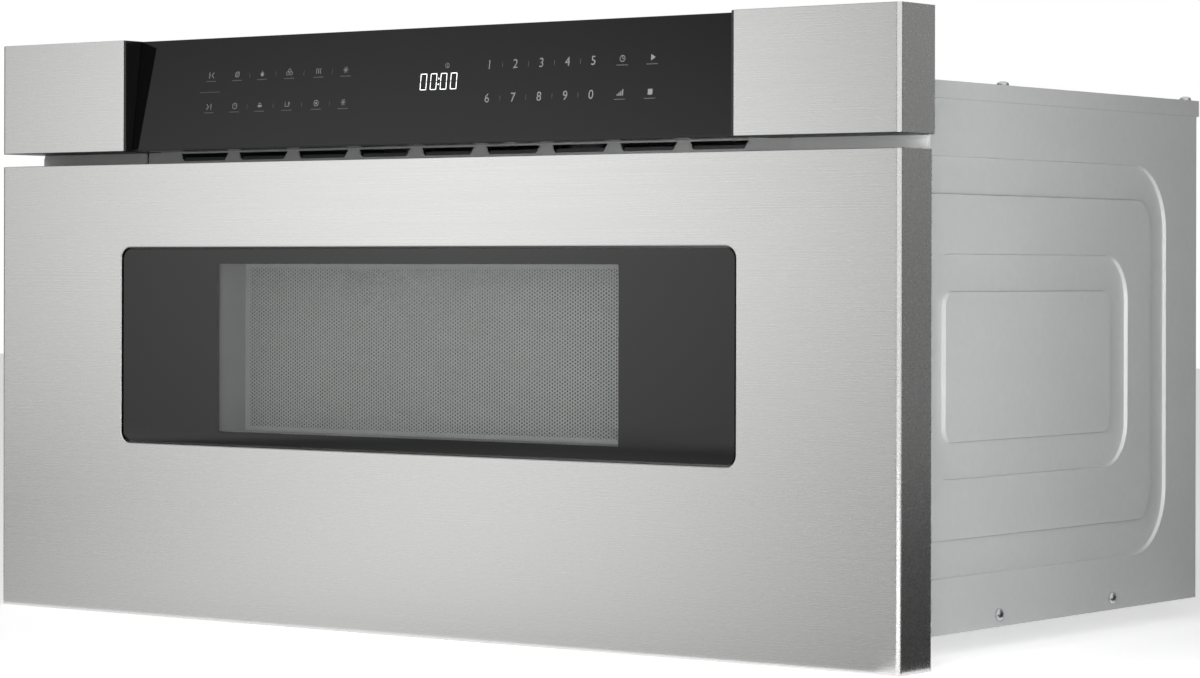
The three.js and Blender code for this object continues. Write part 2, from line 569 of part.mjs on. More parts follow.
function powerBoard() {
  const x = -300;
  const sheet = box([x - 1.6, x], [90, 330], [150, 318]);
  const posts = [[98, 158], [98, 310], [322, 158], [322, 310]].map(([y, z]) =>
    cylinderX(3, [x - 50, x - 1], y, z, 10));
  const relay = [0, 1, 2].map((i) => box([x - 21, x - 1], [120 + i * 30, 142 + i * 30], [170, 198]));
  const coil = cylinderX(17, [x - 24, x - 1], 270, 190, 20);
  const caps = [230, 255, 280].map((y) => cylinderX(8, [x - 31, x - 1], y, 250, 14));
  piece(chassis, 'power_board', shaped([sheet, ...posts, ...relay, coil, ...caps]), MATERIAL.board);
}

function doorSwitches() {
  const { x, y0, y1, heights, plunger } = SWITCH;
  const names = ['primary', 'secondary'];
  heights.forEach((z, i) => {
    const bore = cylinderY(plunger + GAP, [y0 - PAST, y0 + 8], x, z, 12);
    piece(chassis, `${names[i]}_switch`,
      shaped([box([x - 7, x + 7], [y0, y1], [z - 7, z + 7])], [bore]), MATERIAL.blackPlastic);
    const button = cylinderY(plunger, [y0 - 5.5, y0 + 4], 0, 0, 12);
    piece(chassis, `${names[i]}_plunger`, button, MATERIAL.nylon).position.set(x, 0, z);
  });
  const web = box([x - 8.5, x - 7.3], [41, 90], [176, 226]);
  const tab = box([x - 24, x - 8], [41, 42.2], [176, 226]);
  piece(chassis, 'switch_bracket', shaped([web, tab]), MATERIAL.zinc);
}

function cordGland() {
  const { x, z, radius } = CORD_HOLE;
  const [y0, y1] = [CHASSIS.rear - SHEET, CHASSIS.rear];
  const gland = shaped(
    [cylinderY(radius - GAP, [y0 - 4, y1 + 5], 0, 0),
      cylinderY(radius + 3, [y1 + GAP, y1 + 2.3], 0, 0),
      cylinderY(radius + 2, [y0 - 3.3, y0 - GAP], 0, 0)],
    [cylinderY(5, [y0 - 10, y1 + 10], 0, 0, 12)]);
  piece(chassis, 'cord_gland', gland, MATERIAL.blackPlastic).position.set(x, 0, z);
}

// ---------------------------------------------------------------- cover screws

function coverScrews() {
  const { head, height, shank, length } = SCREW;
  const form = turned([
    [0, -length], [shank, -length], [shank, GAP], [head, GAP], [head, GAP + height * 0.45],
    [head * 0.72, GAP + height * 0.88], [0, GAP + height],
  ], 12);
  const cross = SIDES.map((side) =>
    box([-2, 2], [-0.4, 0.4], [height - 0.9, height + PAST]).rotateZ((side * Math.PI) / 4));
  const screw = shaped([form], cross);
  for (const side of SIDES) {
    TOP_SCREWS_Y.forEach((y, i) => {
      const mesh = piece(chassis, `${sideName(side)}_top_screw_${i + 1}`, screw, MATERIAL.zinc);
      mesh.position.set(side * TOP_SCREW_X, y, CHASSIS.top);
    });
    SIDE_SCREWS_Y.forEach((y, i) => {
      const mesh = piece(chassis, `${sideName(side)}_side_screw_${i + 1}`, screw, MATERIAL.zinc);
      mesh.position.set(side * CHASSIS.half, y, SIDE_SCREW_Z);
      mesh.rotation.y = (side * Math.PI) / 2;
    });
  }
}

// ---------------------------------------------------------------- rails

/** A channel open towards the middle of the unit, with its web outermost. */
function channel(side, [lip, web], [z0, z1], ys, sheet = RAIL.sheet) {
  return [
    sideBox(side, [web, web + sheet], ys, [z0, z1]),
    sideBox(side, [lip, web + sheet], ys, [z0, z0 + sheet]),
    sideBox(side, [lip, web + sheet], ys, [z1 - sheet, z1]),
  ];
}

function railSet(side) {
  const { low, top, web, lip, front, rear, sheet } = RAIL;
  const name = sideName(side);
  const ys = [front, rear];
  const leg = sideBox(side, [web, web + sheet], ys, [SEAT, low + 1]);
  const foot = sideBox(side, [web, web + 20], ys, [SEAT, SEAT + sheet]);
  piece(chassis, `${name}_outer_rail`,
    shaped([...channel(side, [lip, web], [low, top], ys), leg, foot]), MATERIAL.zinc);

  piece(chassis, `${name}_middle_rail`,
    shaped(channel(side, [lip + 0.5, web - 3.5], [low + 3.5, top - 3.5], [front, rear - 20])),
    MATERIAL.zinc);

  const inner = { x0: lip + 1.5, x1: lip + 5.5, low: low + 8, top: top - 8 };
  const innerYs = [DOOR_PLATE.y1 + GAP, rear - 22];
  const member = [
    sideBox(side, [inner.x0, inner.x0 + sheet], innerYs, [inner.low, inner.top]),
    sideBox(side, [inner.x0, inner.x1], innerYs, [inner.low, inner.low + sheet]),
    sideBox(side, [inner.x0, inner.x1], innerYs, [inner.top - sheet, inner.top]),
  ];
  const palm = sideBox(side, [236.5, 262], [innerYs[0], innerYs[0] + 1.5], [100, 136]);
  piece(drawer, `${name}_inner_rail`, shaped([...member, palm]), MATERIAL.zinc);
}

// ---------------------------------------------------------------- rack drive

/** Outline of the spur pinion: involute flanks between the root and tip circles. */
function pinionOutline() {
  const pressure = (20 * Math.PI) / 180;
  const base = GEAR_RADIUS * Math.cos(pressure);
  const tip = GEAR_RADIUS + GEAR.module;
  const root = GEAR_RADIUS - 1.25 * GEAR.module;
  const involute = (r) => {
    const angle = Math.acos(Math.min(1, base / r));
    return Math.tan(angle) - angle;
  };
  const halfTooth = (Math.PI * GEAR.module) / 4 - GEAR.backlash / 2;
  const halfAngle = (r) => halfTooth / GEAR_RADIUS + involute(GEAR_RADIUS) - involute(r);
  const radii = [base, GEAR_RADIUS + 0.4, tip];
  const points = [];
  const add = (r, angle) => points.push([r * Math.cos(angle), r * Math.sin(angle)]);
  for (let i = 0; i < GEAR.teeth; i += 1) {
    const centre = Math.PI / 2 + ((i + 0.5) * 2 * Math.PI) / GEAR.teeth;
    add(root, centre - halfAngle(base) - 0.02);
    for (const r of radii) add(r, centre - halfAngle(r));
    for (const r of [...radii].reverse()) add(r, centre + halfAngle(r));
    add(root, centre + halfAngle(base) + 0.02);
  }
  return polygon(points);
}

function rackOutline(y0, y1, low, back) {
  const pitch = Math.PI * GEAR.module;
  const lean = Math.tan((20 * Math.PI) / 180) * GEAR.module;
  const half = pitch / 4 - GEAR.backlash / 2;
  const root = low + 1.25 * GEAR.module;
  const tip = low - GEAR.module;
  const points = [[y0, back], [y0, root]];
  const first = Math.ceil((y0 + pitch - GEAR.y) / pitch);
  for (let n = first; GEAR.y + (n + 1) * pitch < y1; n += 1) {
    const centre = GEAR.y + n * pitch;
    points.push([centre - half - lean, root], [centre - half + lean, tip]);
    points.push([centre + half - lean, tip], [centre + half + lean, root]);
  }
  points.push([y1, root], [y1, back]);
  return polygon(points);
}

function rackDrive() {
  const pitchLine = GEAR.z + GEAR_RADIUS;
  const { half, back, rear, neck: neckLong } = RACK;
  const start = DOOR_PLATE.y1 + GAP;
  const rack = alongX(rackOutline(start + neckLong, rear, pitchLine, back), [-half, half]);
  const neck = box([-half, half], [start, start + neckLong + 1], [51, back]);
  const palm = box([-2 * half, 2 * half], [start, start + 1.5], [38, 66]);
  piece(drawer, 'drive_rack', shaped([rack, neck, palm]), MATERIAL.nylon);

  const toothed = alongX(pinionOutline(), [-GEAR.half, GEAR.half]);
  const shaft = cylinderX(4, [-14, 21], 0, 0, 14);
  const pinion = piece(chassis, 'drive_pinion', shaped([toothed, shaft]), MATERIAL.nylon);
  pinion.position.set(0, GEAR.y, GEAR.z);

  const boxX = [9, 38];
  const gearbox = shaped(
    [box(boxX, [44, 96], [4, 56]), box(boxX, [50, 90], [SEAT, 6])],
    [cylinderX(4.5, [boxX[0] - PAST, 24], GEAR.y, GEAR.z, 16)]);
  piece(chassis, 'drive_gearbox', gearbox, MATERIAL.blackPlastic);
  const can = { y: 70, z: 30, radius: 17, end: 92, boss: 7, bossEnd: 97 };
  const motor = shaped([
    cylinderX(can.radius, [boxX[1] + GAP, can.end], can.y, can.z, 24),
    cylinderX(can.boss, [can.end - 1, can.bossEnd], can.y, can.z, 16),
  ]);
  piece(chassis, 'drive_motor', motor, MATERIAL.zinc);
}

// ---------------------------------------------------------------- drawer

function drawerSkin() {
  const { half, low, drawerTop, bend } = FRONT;
  const outline = new THREE.Shape();
  outline.moveTo(-half + bend, 0);
  outline.lineTo(half - bend, 0);
  outline.absarc(half - bend, bend, bend, -Math.PI / 2, 0, false);
  outline.lineTo(half, DRAWER_DEPTH);
  outline.lineTo(-half, DRAWER_DEPTH);
  outline.absarc(-half + bend, bend, bend, Math.PI, Math.PI * 1.5, false);
  const shell = alongZ(outline, [low, drawerTop], 5);
  const hollow = box([SKIN - half, half - SKIN], [SKIN, DRAWER_DEPTH + PAST],
    [low + SKIN, drawerTop - SKIN]);
  const opening = (grow) => roundedRect(-WINDOW.half - grow, WINDOW.half + grow,
    WINDOW.low - grow, WINDOW.top + grow, WINDOW.radius + grow);
  const pan = shaped([shell], [hollow]);
  const rim = alongY(opening(SKIN), [SKIN / 2, WINDOW.rim]);
  const hole = alongY(opening(0), [-PAST, WINDOW.rim + PAST]);
  piece(drawer, 'drawer_front_skin', shaped([pan, rim], [hole]), MATERIAL.stainless);
}

function doorWindow() {
  const { gap, y0, y1 } = GLASS;
  const pane = roundedRect(gap - WINDOW.half, WINDOW.half - gap, WINDOW.low + gap,
    WINDOW.top - gap, WINDOW.radius - gap);
  piece(drawer, 'window_glass', alongY(pane, [y0, y1]), MATERIAL.blackGlass);

  const wall = 2;
  const { half, low, top } = VIEW;
  const bezel = alongY(roundedRect(-BEZEL.half, BEZEL.half, BEZEL.low, BEZEL.top, BEZEL.radius),
    [y1 + GAP, y1 + GAP + BEZEL.thick]);
  const tunnel = box([-half - wall, half + wall], [y1 + GAP, SCREEN.y0 - GAP], [low - wall, top + wall]);
  const sight = box([-half, half], [y1, SCREEN.y0], [low, top]);
  const legs = SIDES.flatMap((side) =>
    [100, 239].map((z) => sideBox(side, [256, 264], [y1 + 1, DOOR_PLATE.y0 - GAP], [z, z + 6])));
  piece(drawer, 'glass_carrier', shaped([bezel, tunnel, ...legs], [sight]), MATERIAL.painted);

  const screen = box([-SCREEN.half, SCREEN.half], [SCREEN.y0, DOOR_PLATE.y0 - GAP],
    [SCREEN.low, SCREEN.top]);
  piece(drawer, 'window_screen', screen, MATERIAL.painted);
  const innerPane = box([-INNER_PANE.half, INNER_PANE.half], [INNER_PANE.y0, INNER_PANE.y1],
    [INNER_PANE.low, INNER_PANE.top]);
  piece(drawer, 'inner_pane', innerPane, MATERIAL.blackGlass);
}

function doorFrame() {
  const edge = SKIN + GAP;
  const plate = box([edge - FRONT.half, FRONT.half - edge], [DOOR_PLATE.y0, DOOR_PLATE.y1],
    [FRONT.low + edge, FRONT.drawerTop - edge]);
  const { half, low, top, rear } = PLUG;
  const plug = box([-half, half], [DOOR_PLATE.y0 + 0.5, rear], [low, top]);
  const hollow = box([SKIN - half, half - SKIN], [DOOR_PLATE.y1, rear - SKIN],
    [low + SKIN, top - SKIN]);
  const seat = { view: 10, mouth: 4, deeper: 3 }; // how far the opening overlaps and clears the pane
  const view = box([seat.view - INNER_PANE.half, INNER_PANE.half - seat.view],
    [DOOR_PLATE.y0 - PAST, rear + PAST], [109, 236]);
  const mouth = box([-INNER_PANE.half - seat.mouth, INNER_PANE.half + seat.mouth],
    [DOOR_PLATE.y0 - PAST, rear - SKIN], [INNER_PANE.low - seat.deeper, INNER_PANE.top + seat.deeper]);
  piece(drawer, 'door_inner_frame', shaped([plate, plug], [hollow, view, mouth]), MATERIAL.painted);

  const ring = roundedRect(-CHOKE.half, CHOKE.half, CHOKE.low, CHOKE.top, 10);
  ring.holes.push(roundedRect(-PLUG.half - 3, PLUG.half + 3, PLUG.low - 3, PLUG.top + 3, 4));
  piece(drawer, 'choke_cover', alongY(ring, [CHOKE.y0, CHOKE.y1]), MATERIAL.blackPlastic);
}

function tubOutline(grow) {
  const { half, front, rear, radius } = TUB;
  const [h, f, b, r] = [half + grow, front - grow, rear + grow, radius + grow];
  const shape = new THREE.Shape();
  shape.moveTo(-h, f);
  shape.lineTo(h, f);
  shape.absarc(h - r, b - r, r, 0, Math.PI / 2, false);
  shape.absarc(r - h, b - r, r, Math.PI / 2, Math.PI, false);
  return shape;
}

const RIM = 3; // width of the rolled rim

function drawerTub() {
  const { low, top, wall, front, half } = TUB;
  const bucket = alongZ(tubOutline(0), [low, top]);
  const rolledRim = alongZ(tubOutline(RIM), [top - wall, top]);
  const room = alongZ(tubOutline(-wall), [low + wall, top + PAST]);
  const across = [-half - RIM - PAST, half + RIM + PAST];
  const lipTop = 110; // the front wall of the tub is low, so that the window looks into it
  const frontGap = box(across, [front - RIM - PAST, front + wall + 0.01], [lipTop, top + PAST]);
  const foreRim = box(across, [front - RIM - PAST, front], [low, top + PAST]);
  piece(drawer, 'tub', shaped([bucket, rolledRim], [room, frontGap, foreRim]), MATERIAL.enamel);

  const floor = low + wall + GAP;
  const tray = alongZ(tubOutline(-5), [floor, floor + 5]);
  piece(drawer, 'ceramic_tray', tray, MATERIAL.ceramic);
}

function striker() {
  const { x, y0, heights } = SWITCH;
  const start = DOOR_PLATE.y1 + GAP;
  const palm = box([x - 10, x + 10], [start, start + 1.2], [178, 224]);
  const prongs = heights.map((z) => box([x - 2, x + 2], [start + 0.6, y0 - 5.8], [z - 3, z + 3]));
  piece(drawer, 'striker', shaped([palm, ...prongs]), MATERIAL.nylon);
}

// ---------------------------------------------------------------- assembly

basePan();
rearPanel();
topCover();
frontFrame();
ventStrip();
controlPanel();
cavityLiner();
waveFeed();
magnetron();
highVoltage();
cavityLamp();
coolingFan();
powerBoard();
doorSwitches();
cordGland();
coverScrews();
for (const side of SIDES) {
  sidePanel(side);
  trimBlock(side);
  railSet(side);
}
rackDrive();
drawerSkin();
doorWindow();
doorFrame();
drawerTub();
striker();

const microwaveDrawer = new THREE.Group();
microwaveDrawer.add(chassis, drawer);
microwaveDrawer.position.set(0, -BASE_CENTRE_Y, 0);

export default microwaveDrawer;
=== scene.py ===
"""Finished surfaces of a built-in microwave drawer, made around its fixed frame.

The pieces are in metres in the frame's own axes: X to the user's right, Y back into the cabinet, Z up.
Sizes below are in millimetres and are turned to metres by MM. Only the stage's own sizes are in metres.
"""

import json
import math

import bmesh
import bpy
from bpy.props import FloatProperty, FloatVectorProperty, IntProperty, PointerProperty
from mathutils import Matrix, Vector


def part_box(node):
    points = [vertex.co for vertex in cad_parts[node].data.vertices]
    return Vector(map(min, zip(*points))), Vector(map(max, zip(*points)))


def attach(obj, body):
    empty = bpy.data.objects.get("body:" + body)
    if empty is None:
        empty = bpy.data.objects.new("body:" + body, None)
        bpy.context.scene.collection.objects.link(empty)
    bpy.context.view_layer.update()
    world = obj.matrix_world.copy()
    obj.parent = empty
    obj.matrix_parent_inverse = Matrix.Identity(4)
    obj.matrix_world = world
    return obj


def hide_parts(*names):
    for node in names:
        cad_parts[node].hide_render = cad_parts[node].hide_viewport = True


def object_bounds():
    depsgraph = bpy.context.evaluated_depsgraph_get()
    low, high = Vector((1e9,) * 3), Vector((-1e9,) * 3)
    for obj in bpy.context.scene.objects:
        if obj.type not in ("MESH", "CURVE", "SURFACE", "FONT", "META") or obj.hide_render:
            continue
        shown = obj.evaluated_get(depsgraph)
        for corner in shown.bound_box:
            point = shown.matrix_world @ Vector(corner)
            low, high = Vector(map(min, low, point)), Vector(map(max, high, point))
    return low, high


bl_info = {
    "name": "Microwave Drawer",
    "version": (1, 0, 0),
    "blender": (4, 5, 0),
    "location": "3D View > Sidebar > Microwave",
    "description": "Builds the finished surfaces of a built-in microwave drawer around its frame",
    "category": "Add Mesh",
}

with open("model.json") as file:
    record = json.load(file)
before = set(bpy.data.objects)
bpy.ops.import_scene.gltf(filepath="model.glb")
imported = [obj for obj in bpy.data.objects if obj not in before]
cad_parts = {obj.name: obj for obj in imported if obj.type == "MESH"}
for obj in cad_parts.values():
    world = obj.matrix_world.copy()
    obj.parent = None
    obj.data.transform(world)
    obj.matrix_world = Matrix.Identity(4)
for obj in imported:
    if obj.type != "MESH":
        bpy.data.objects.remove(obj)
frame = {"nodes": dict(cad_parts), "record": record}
cad_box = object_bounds()

MM = 0.001
QUARTER = math.pi / 2


def linear(hex_colour):
    """An sRGB hex colour as the linear RGB that shaders and colour properties take."""
    channels = (int(hex_colour[i:i + 2], 16) / 255 for i in (1, 3, 5))
    return tuple(c / 12.92 if c <= 0.04045 else ((c + 0.055) / 1.055) ** 2.4 for c in channels)


def span(node, axis):
    """A frame node's lowest and highest place along X, Y or Z, in metres."""
    low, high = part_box(node)
    return low["XYZ".index(axis)], high["XYZ".index(axis)]


# ------------------------------------------------------------------ places taken from the frame

FRONT_Y = span("drawer_front_skin", "Y")[0]
DRAWER_HALF = span("drawer_front_skin", "X")[1]
DRAWER_Z = span("drawer_front_skin", "Z")
PANE_HALF = span("window_glass", "X")[1]
PANE_Z = span("window_glass", "Z")
CONTROL_Z = span("control_glass", "Z")
CONTROL_HALF = span("control_glass", "X")[1]


def behind(depth):
    """The Y of a plane that many millimetres behind the stainless front."""
    return FRONT_Y + depth * MM


# ------------------------------------------------------------------ what a user would change


def colour_property(name, description, hex_colour):
    return FloatVectorProperty(
        name=name, description=description, subtype="COLOR", size=3, min=0.0, max=1.0,
        default=linear(hex_colour),
    )


def length_property(name, description, default_mm):
    return FloatProperty(
        name=name, description=description, default=default_mm * MM, min=0.0, unit="LENGTH", precision=5,
    )


class SteelSettings(bpy.types.PropertyGroup):
    """Sheet metal of the front and the chassis."""

    stainless: colour_property("Stainless", "Ground stainless of the front", "#dfdfde")
    galvanised: colour_property("Galvanised", "Galvanised sheet of the chassis", "#cbcccc")
    zinc: colour_property("Zinc plate", "Plated screws, rails and motors", "#c9cacc")
    bend: length_property("Bend radius", "Radius of the folded vertical edges", 3.0)
    rim: length_property("Rim chamfer", "Width of the bright chamfer around the window", 1.0)
    band_depth: length_property("Band depth", "Depth of the bands pressed in the sides", 2.3)
    ramp: length_property("Band ramp", "Width of a pressed band's sloping edge", 0.7)


class WindowSettings(bpy.types.PropertyGroup):
    """Window in the drawer front."""

    screen: colour_property("Screen", "Painted perforated screen", "#bababa")
    tunnel: colour_property("Tunnel", "Painted walls between glass and screen", "#828282")
    pitch: length_property("Hole pitch", "Distance between the screen's holes", 2.4)
    hole: length_property("Hole diameter", "Diameter of the screen's holes", 1.56)


class TouchSettings(bpy.types.PropertyGroup):
    """Marks on the leaning control glass."""

    ink: colour_property("Ink", "Printed touch marks", "#8c8c8c")
    faint: colour_property("Faint ink", "Rules and underlines", "#565656")
    light: colour_property("Display", "Lit bars of the clock", "#ffffff")
    digit: length_property("Digit height", "Height of the number keys", 6.2)
    raise_height: length_property("Ink thickness", "How far the ink stands on the glass", 0.05)


class StageSettings(bpy.types.PropertyGroup):
    """Floor, lamps and surroundings."""

    floor: colour_property("Floor", "Pale studio floor", "#f2f2f2")
    key: FloatProperty(name="Key lamp", description="Front left softbox", default=26.0, unit="POWER")
    side: FloatProperty(name="Side lamp", description="Right softbox", default=13.5, unit="POWER")
    ambient: FloatProperty(name="Ambient", description="Strength of the surroundings on matt surfaces",
                           default=0.06)
    segments: IntProperty(name="Round segments", description="Facets in a quarter turn", default=8, min=2)


# ------------------------------------------------------------------ materials


def add_node(tree, kind, settings=None, inputs=None):
    """Adds a node with its own settings, and with values or other nodes' sockets on its inputs."""
    made = tree.nodes.new(kind)
    for name, value in (settings or {}).items():
        setattr(made, name, value)
    for name, value in (inputs or {}).items():
        socket = made.inputs[name]
        if isinstance(value, bpy.types.NodeSocket):
            tree.links.new(value, socket)
        else:
            socket.default_value = value
    return made


def blank_material(name, colour, roughness, metallic=0.0, **sockets):
    """A material with one Principled shader. Returns it with its tree, shader and object coordinates."""
    material = bpy.data.materials.new(name)
    material.use_nodes = True
    tree = material.node_tree
    shader = tree.nodes["Principled BSDF"]
    shader.inputs["Base Color"].default_value = (*colour[:3], 1.0)
    shader.inputs["Roughness"].default_value = roughness
    shader.inputs["Metallic"].default_value = metallic
    for socket, value in sockets.items():
        shader.inputs[socket.replace("_", " ")].default_value = value
    place = add_node(tree, "ShaderNodeTexCoord").outputs["Object"]
    return material, tree, shader, place


def patterned(tree, place, size_mm, stretch=(1.0, 1.0, 1.0), detail=3.0, kind="ShaderNodeTexNoise", **more):
    """A texture whose features are size_mm across, made longer along an axis by its stretch."""
    scale = tuple(1.0 / (size_mm * MM * s) for s in stretch)
    moved = add_node(tree, "ShaderNodeMapping", inputs={"Vector": place, "Scale": scale}).outputs["Vector"]
    settings = {"Detail": detail} if kind == "ShaderNodeTexNoise" else {}
    return add_node(tree, kind, more, {"Vector": moved, "Scale": 1.0, **settings})


def between(tree, factor, low, high):
    """Maps a 0..1 factor to low..high."""
    return add_node(tree, "ShaderNodeMapRange", inputs={
        "Value": factor, "From Min": 0.0, "From Max": 1.0, "To Min": low, "To Max": high}).outputs["Result"]


def shaded(tree, factor, colour, dark, light):
    """The colour, made darker or lighter by a 0..1 pattern."""
    tone = between(tree, factor, dark, light)
    return add_node(tree, "ShaderNodeMix", {"data_type": "RGBA", "blend_type": "MULTIPLY"}, {
        "Factor": 1.0, "A": (*colour[:3], 1.0), "B": tone}).outputs["Result"]


def raised(tree, shader, height, distance_mm, strength=1.0):
    """Puts a height pattern on the surface as relief."""
    bump = add_node(tree, "ShaderNodeBump", inputs={
        "Height": height, "Distance": distance_mm * MM, "Strength": strength})
    tree.links.new(bump.outputs["Normal"], shader.inputs["Normal"])


def put(tree, shader, **outputs):
    for socket, output in outputs.items():
        tree.links.new(output, shader.inputs[socket.replace("_", " ")])


def brushed_stainless(name, colour):
    """Ferritic stainless sheet ground with a belt: fine scratches all one way, so that a lamp's
    reflection is smeared across them. The scratches are really about 0.1 mm apart; here they are
    drawn 0.7 mm apart, so that they show as the faint streaks that the eye sees."""
    material, tree, shader, place = blank_material(name, colour, 0.27, 1.0)
    scratches = patterned(tree, place, 0.7, (160.0, 1.0, 1.0), 4.0).outputs["Fac"]
    broad = patterned(tree, place, 9.0, (40.0, 1.0, 1.0), 2.0).outputs["Fac"]
    streaks = add_node(tree, "ShaderNodeMath", {"operation": "MULTIPLY_ADD"}, {
        0: scratches, 1: 0.75, 2: between(tree, broad, 0.0, 0.25)}).outputs["Value"]
    put(tree, shader, Base_Color=shaded(tree, streaks, colour, 0.965, 1.03),
        Roughness=between(tree, streaks, 0.24, 0.31))
    raised(tree, shader, scratches, 0.003, 0.15)
    return material


def galvanised_sheet(name, colour):
    """Skin-passed galvanised steel: a matt grey with faint cloudy grains of zinc, 4 to 8 mm across,
    and long roller marks."""
    material, tree, shader, place = blank_material(name, colour, 0.5, 0.2)
    grain = patterned(tree, place, 6.0, kind="ShaderNodeTexVoronoi").outputs["Distance"]
    cloud = patterned(tree, place, 35.0, (1.0, 2.5, 1.0)).outputs["Fac"]
    fine = patterned(tree, place, 1.1, (1.0, 6.0, 1.0), 2.0).outputs["Fac"]
    mixed = add_node(tree, "ShaderNodeMath", {"operation": "MULTIPLY_ADD"}, {
        0: grain, 1: 0.35, 2: between(tree, cloud, 0.0, 0.65)}).outputs["Value"]
    put(tree, shader, Base_Color=shaded(tree, mixed, colour, 0.94, 1.04),
        Roughness=between(tree, cloud, 0.42, 0.56))
    raised(tree, shader, fine, 0.01, 0.25)
    return material


def zinc_plate(name, colour):
    """Bright zinc plate on small steel parts: nearly a mirror, dulled by fine handling marks."""
    material, tree, shader, place = blank_material(name, colour, 0.28, 1.0)
    dull = patterned(tree, place, 5.0, detail=5.0).outputs["Fac"]
    put(tree, shader, Base_Color=shaded(tree, dull, colour, 0.90, 1.05),
        Roughness=between(tree, dull, 0.2, 0.4))
    return material


def satin_paint(name, colour, roughness=0.45):
    """Baked polyester paint on steel: an even film with a slight orange peel, 1.5 mm across."""
    material, tree, shader, place = blank_material(name, colour, roughness)
    peel = patterned(tree, place, 1.5, detail=1.0).outputs["Fac"]
    cloud = patterned(tree, place, 40.0).outputs["Fac"]
    put(tree, shader, Base_Color=shaded(tree, cloud, colour, 0.97, 1.03))
    raised(tree, shader, peel, 0.01, 0.3)
    return material


def oven_enamel(name, colour):
    """Epoxy-polyester oven enamel: glossy, slightly wavy, with fine dark and light flecks 0.8 mm across."""
    material, tree, shader, place = blank_material(name, colour, 0.28, IOR=1.52)
    flecks = patterned(tree, place, 0.8, detail=1.0).outputs["Fac"]
    sharp = add_node(tree, "ShaderNodeMapRange", inputs={
        "Value": flecks, "From Min": 0.60, "From Max": 0.72, "To Min": 1.0, "To Max": 0.0}).outputs["Result"]
    wave = patterned(tree, place, 14.0, detail=1.0).outputs["Fac"]
    put(tree, shader, Base_Color=shaded(tree, sharp, colour, 0.86, 1.0))
    raised(tree, shader, wave, 0.08, 0.2)
    return material


def float_glass(name, tint):
    """Tempered float glass, clear with a grey tint in its thickness: only its gloss shows on the front."""
    material, tree, shader, place = blank_material(
        name, tint, 0.02, IOR=1.52, Transmission_Weight=1.0)
    smear = patterned(tree, place, 60.0, (1.0, 1.0, 2.0), 4.0).outputs["Fac"]
    put(tree, shader, Roughness=between(tree, smear, 0.015, 0.035))
    return material


def black_glass(name, colour):
    """Float glass printed black on its back: a mirror over deep black, with faint roller waves."""
    material, tree, shader, place = blank_material(name, colour, 0.05, IOR=1.52)
    smear = patterned(tree, place, 55.0, (2.0, 1.0, 1.0), 4.0).outputs["Fac"]
    wave = patterned(tree, place, 90.0, (1.0, 1.0, 1.0), 0.0).outputs["Fac"]
    put(tree, shader, Base_Color=shaded(tree, smear, colour, 0.9, 1.1),
        Roughness=between(tree, smear, 0.03, 0.07))
    raised(tree, shader, wave, 0.05, 0.15)
    return material


def moulded_plastic(name, colour, roughness=0.4, grain_mm=0.5):
    """Injection moulded ABS or PBT from a spark-eroded tool: an even skin with a fine grain."""
    material, tree, shader, place = blank_material(name, colour, roughness, IOR=1.53)
    grain = patterned(tree, place, grain_mm, detail=2.0).outputs["Fac"]
    cloud = patterned(tree, place, 30.0).outputs["Fac"]
    put(tree, shader, Base_Color=shaded(tree, cloud, colour, 0.95, 1.05),
        Roughness=between(tree, grain, roughness - 0.06, roughness + 0.06))
    raised(tree, shader, grain, 0.02, 0.3)
    return material


def solder_mask(name, colour):
    """FR4 board under green solder mask: glossy lacquer with the copper tracks, 1.3 mm apart, showing
    through a shade lighter."""
    material, tree, shader, place = blank_material(name, colour, 0.3, IOR=1.5)
    tracks = patterned(tree, place, 9.0, kind="ShaderNodeTexBrick").outputs["Fac"]
    put(tree, shader, Base_Color=shaded(tree, tracks, colour, 1.0, 1.7))
    raised(tree, shader, tracks, 0.03, 0.3)
    return material


def copper_winding(name, colour):
    """Enamelled copper wire wound in 1.2 mm turns, under varnish. The colour is darker between the turns and
    lighter on their tops: painted shade in the grooves and a painted highlight on the ridges.
    """
    material, tree, shader, place = blank_material(name, colour, 0.3, 0.9)
    turns = patterned(tree, place, 7.5, kind="ShaderNodeTexWave", bands_direction="Z").outputs["Fac"]
    # painted shade in the grooves between turns and a painted highlight on their tops
    put(tree, shader, Base_Color=shaded(tree, turns, colour, 0.45, 1.1))
    raised(tree, shader, turns, 0.4, 0.8)
    return material


def laminated_steel(name, colour):
    """Stacked silicon-steel laminations 0.5 mm thick, drawn 1 mm thick to show, under dark varnish."""
    material, tree, shader, place = blank_material(name, colour, 0.5, 0.6)
    sheets = patterned(tree, place, 6.3, kind="ShaderNodeTexWave", bands_direction="X").outputs["Fac"]
    put(tree, shader, Base_Color=shaded(tree, sheets, colour, 0.5, 1.1))
    raised(tree, shader, sheets, 0.15, 0.6)
    return material


def glass_ceramic(name, colour):
    """Cordierite ceramic with a thin glaze: warm white, with specks 1.2 mm across."""
    material, tree, shader, place = blank_material(name, colour, 0.22, IOR=1.5)
    specks = patterned(tree, place, 1.2, detail=2.0).outputs["Fac"]
    sparse = add_node(tree, "ShaderNodeMapRange", inputs={
        "Value": specks, "From Min": 0.66, "From Max": 0.76, "To Min": 1.0, "To Max": 0.0}).outputs["Result"]
    put(tree, shader, Base_Color=shaded(tree, sparse, colour, 0.78, 1.0))
    return material


def printing_ink(name, colour):
    """Screen-printed ceramic ink fired on glass: thin, matt and evenly pale."""
    material, tree, shader, place = blank_material(name, colour, 0.6)
    grain = patterned(tree, place, 0.4, detail=1.0).outputs["Fac"]
    put(tree, shader, Base_Color=shaded(tree, grain, colour, 0.94, 1.0))
    return material


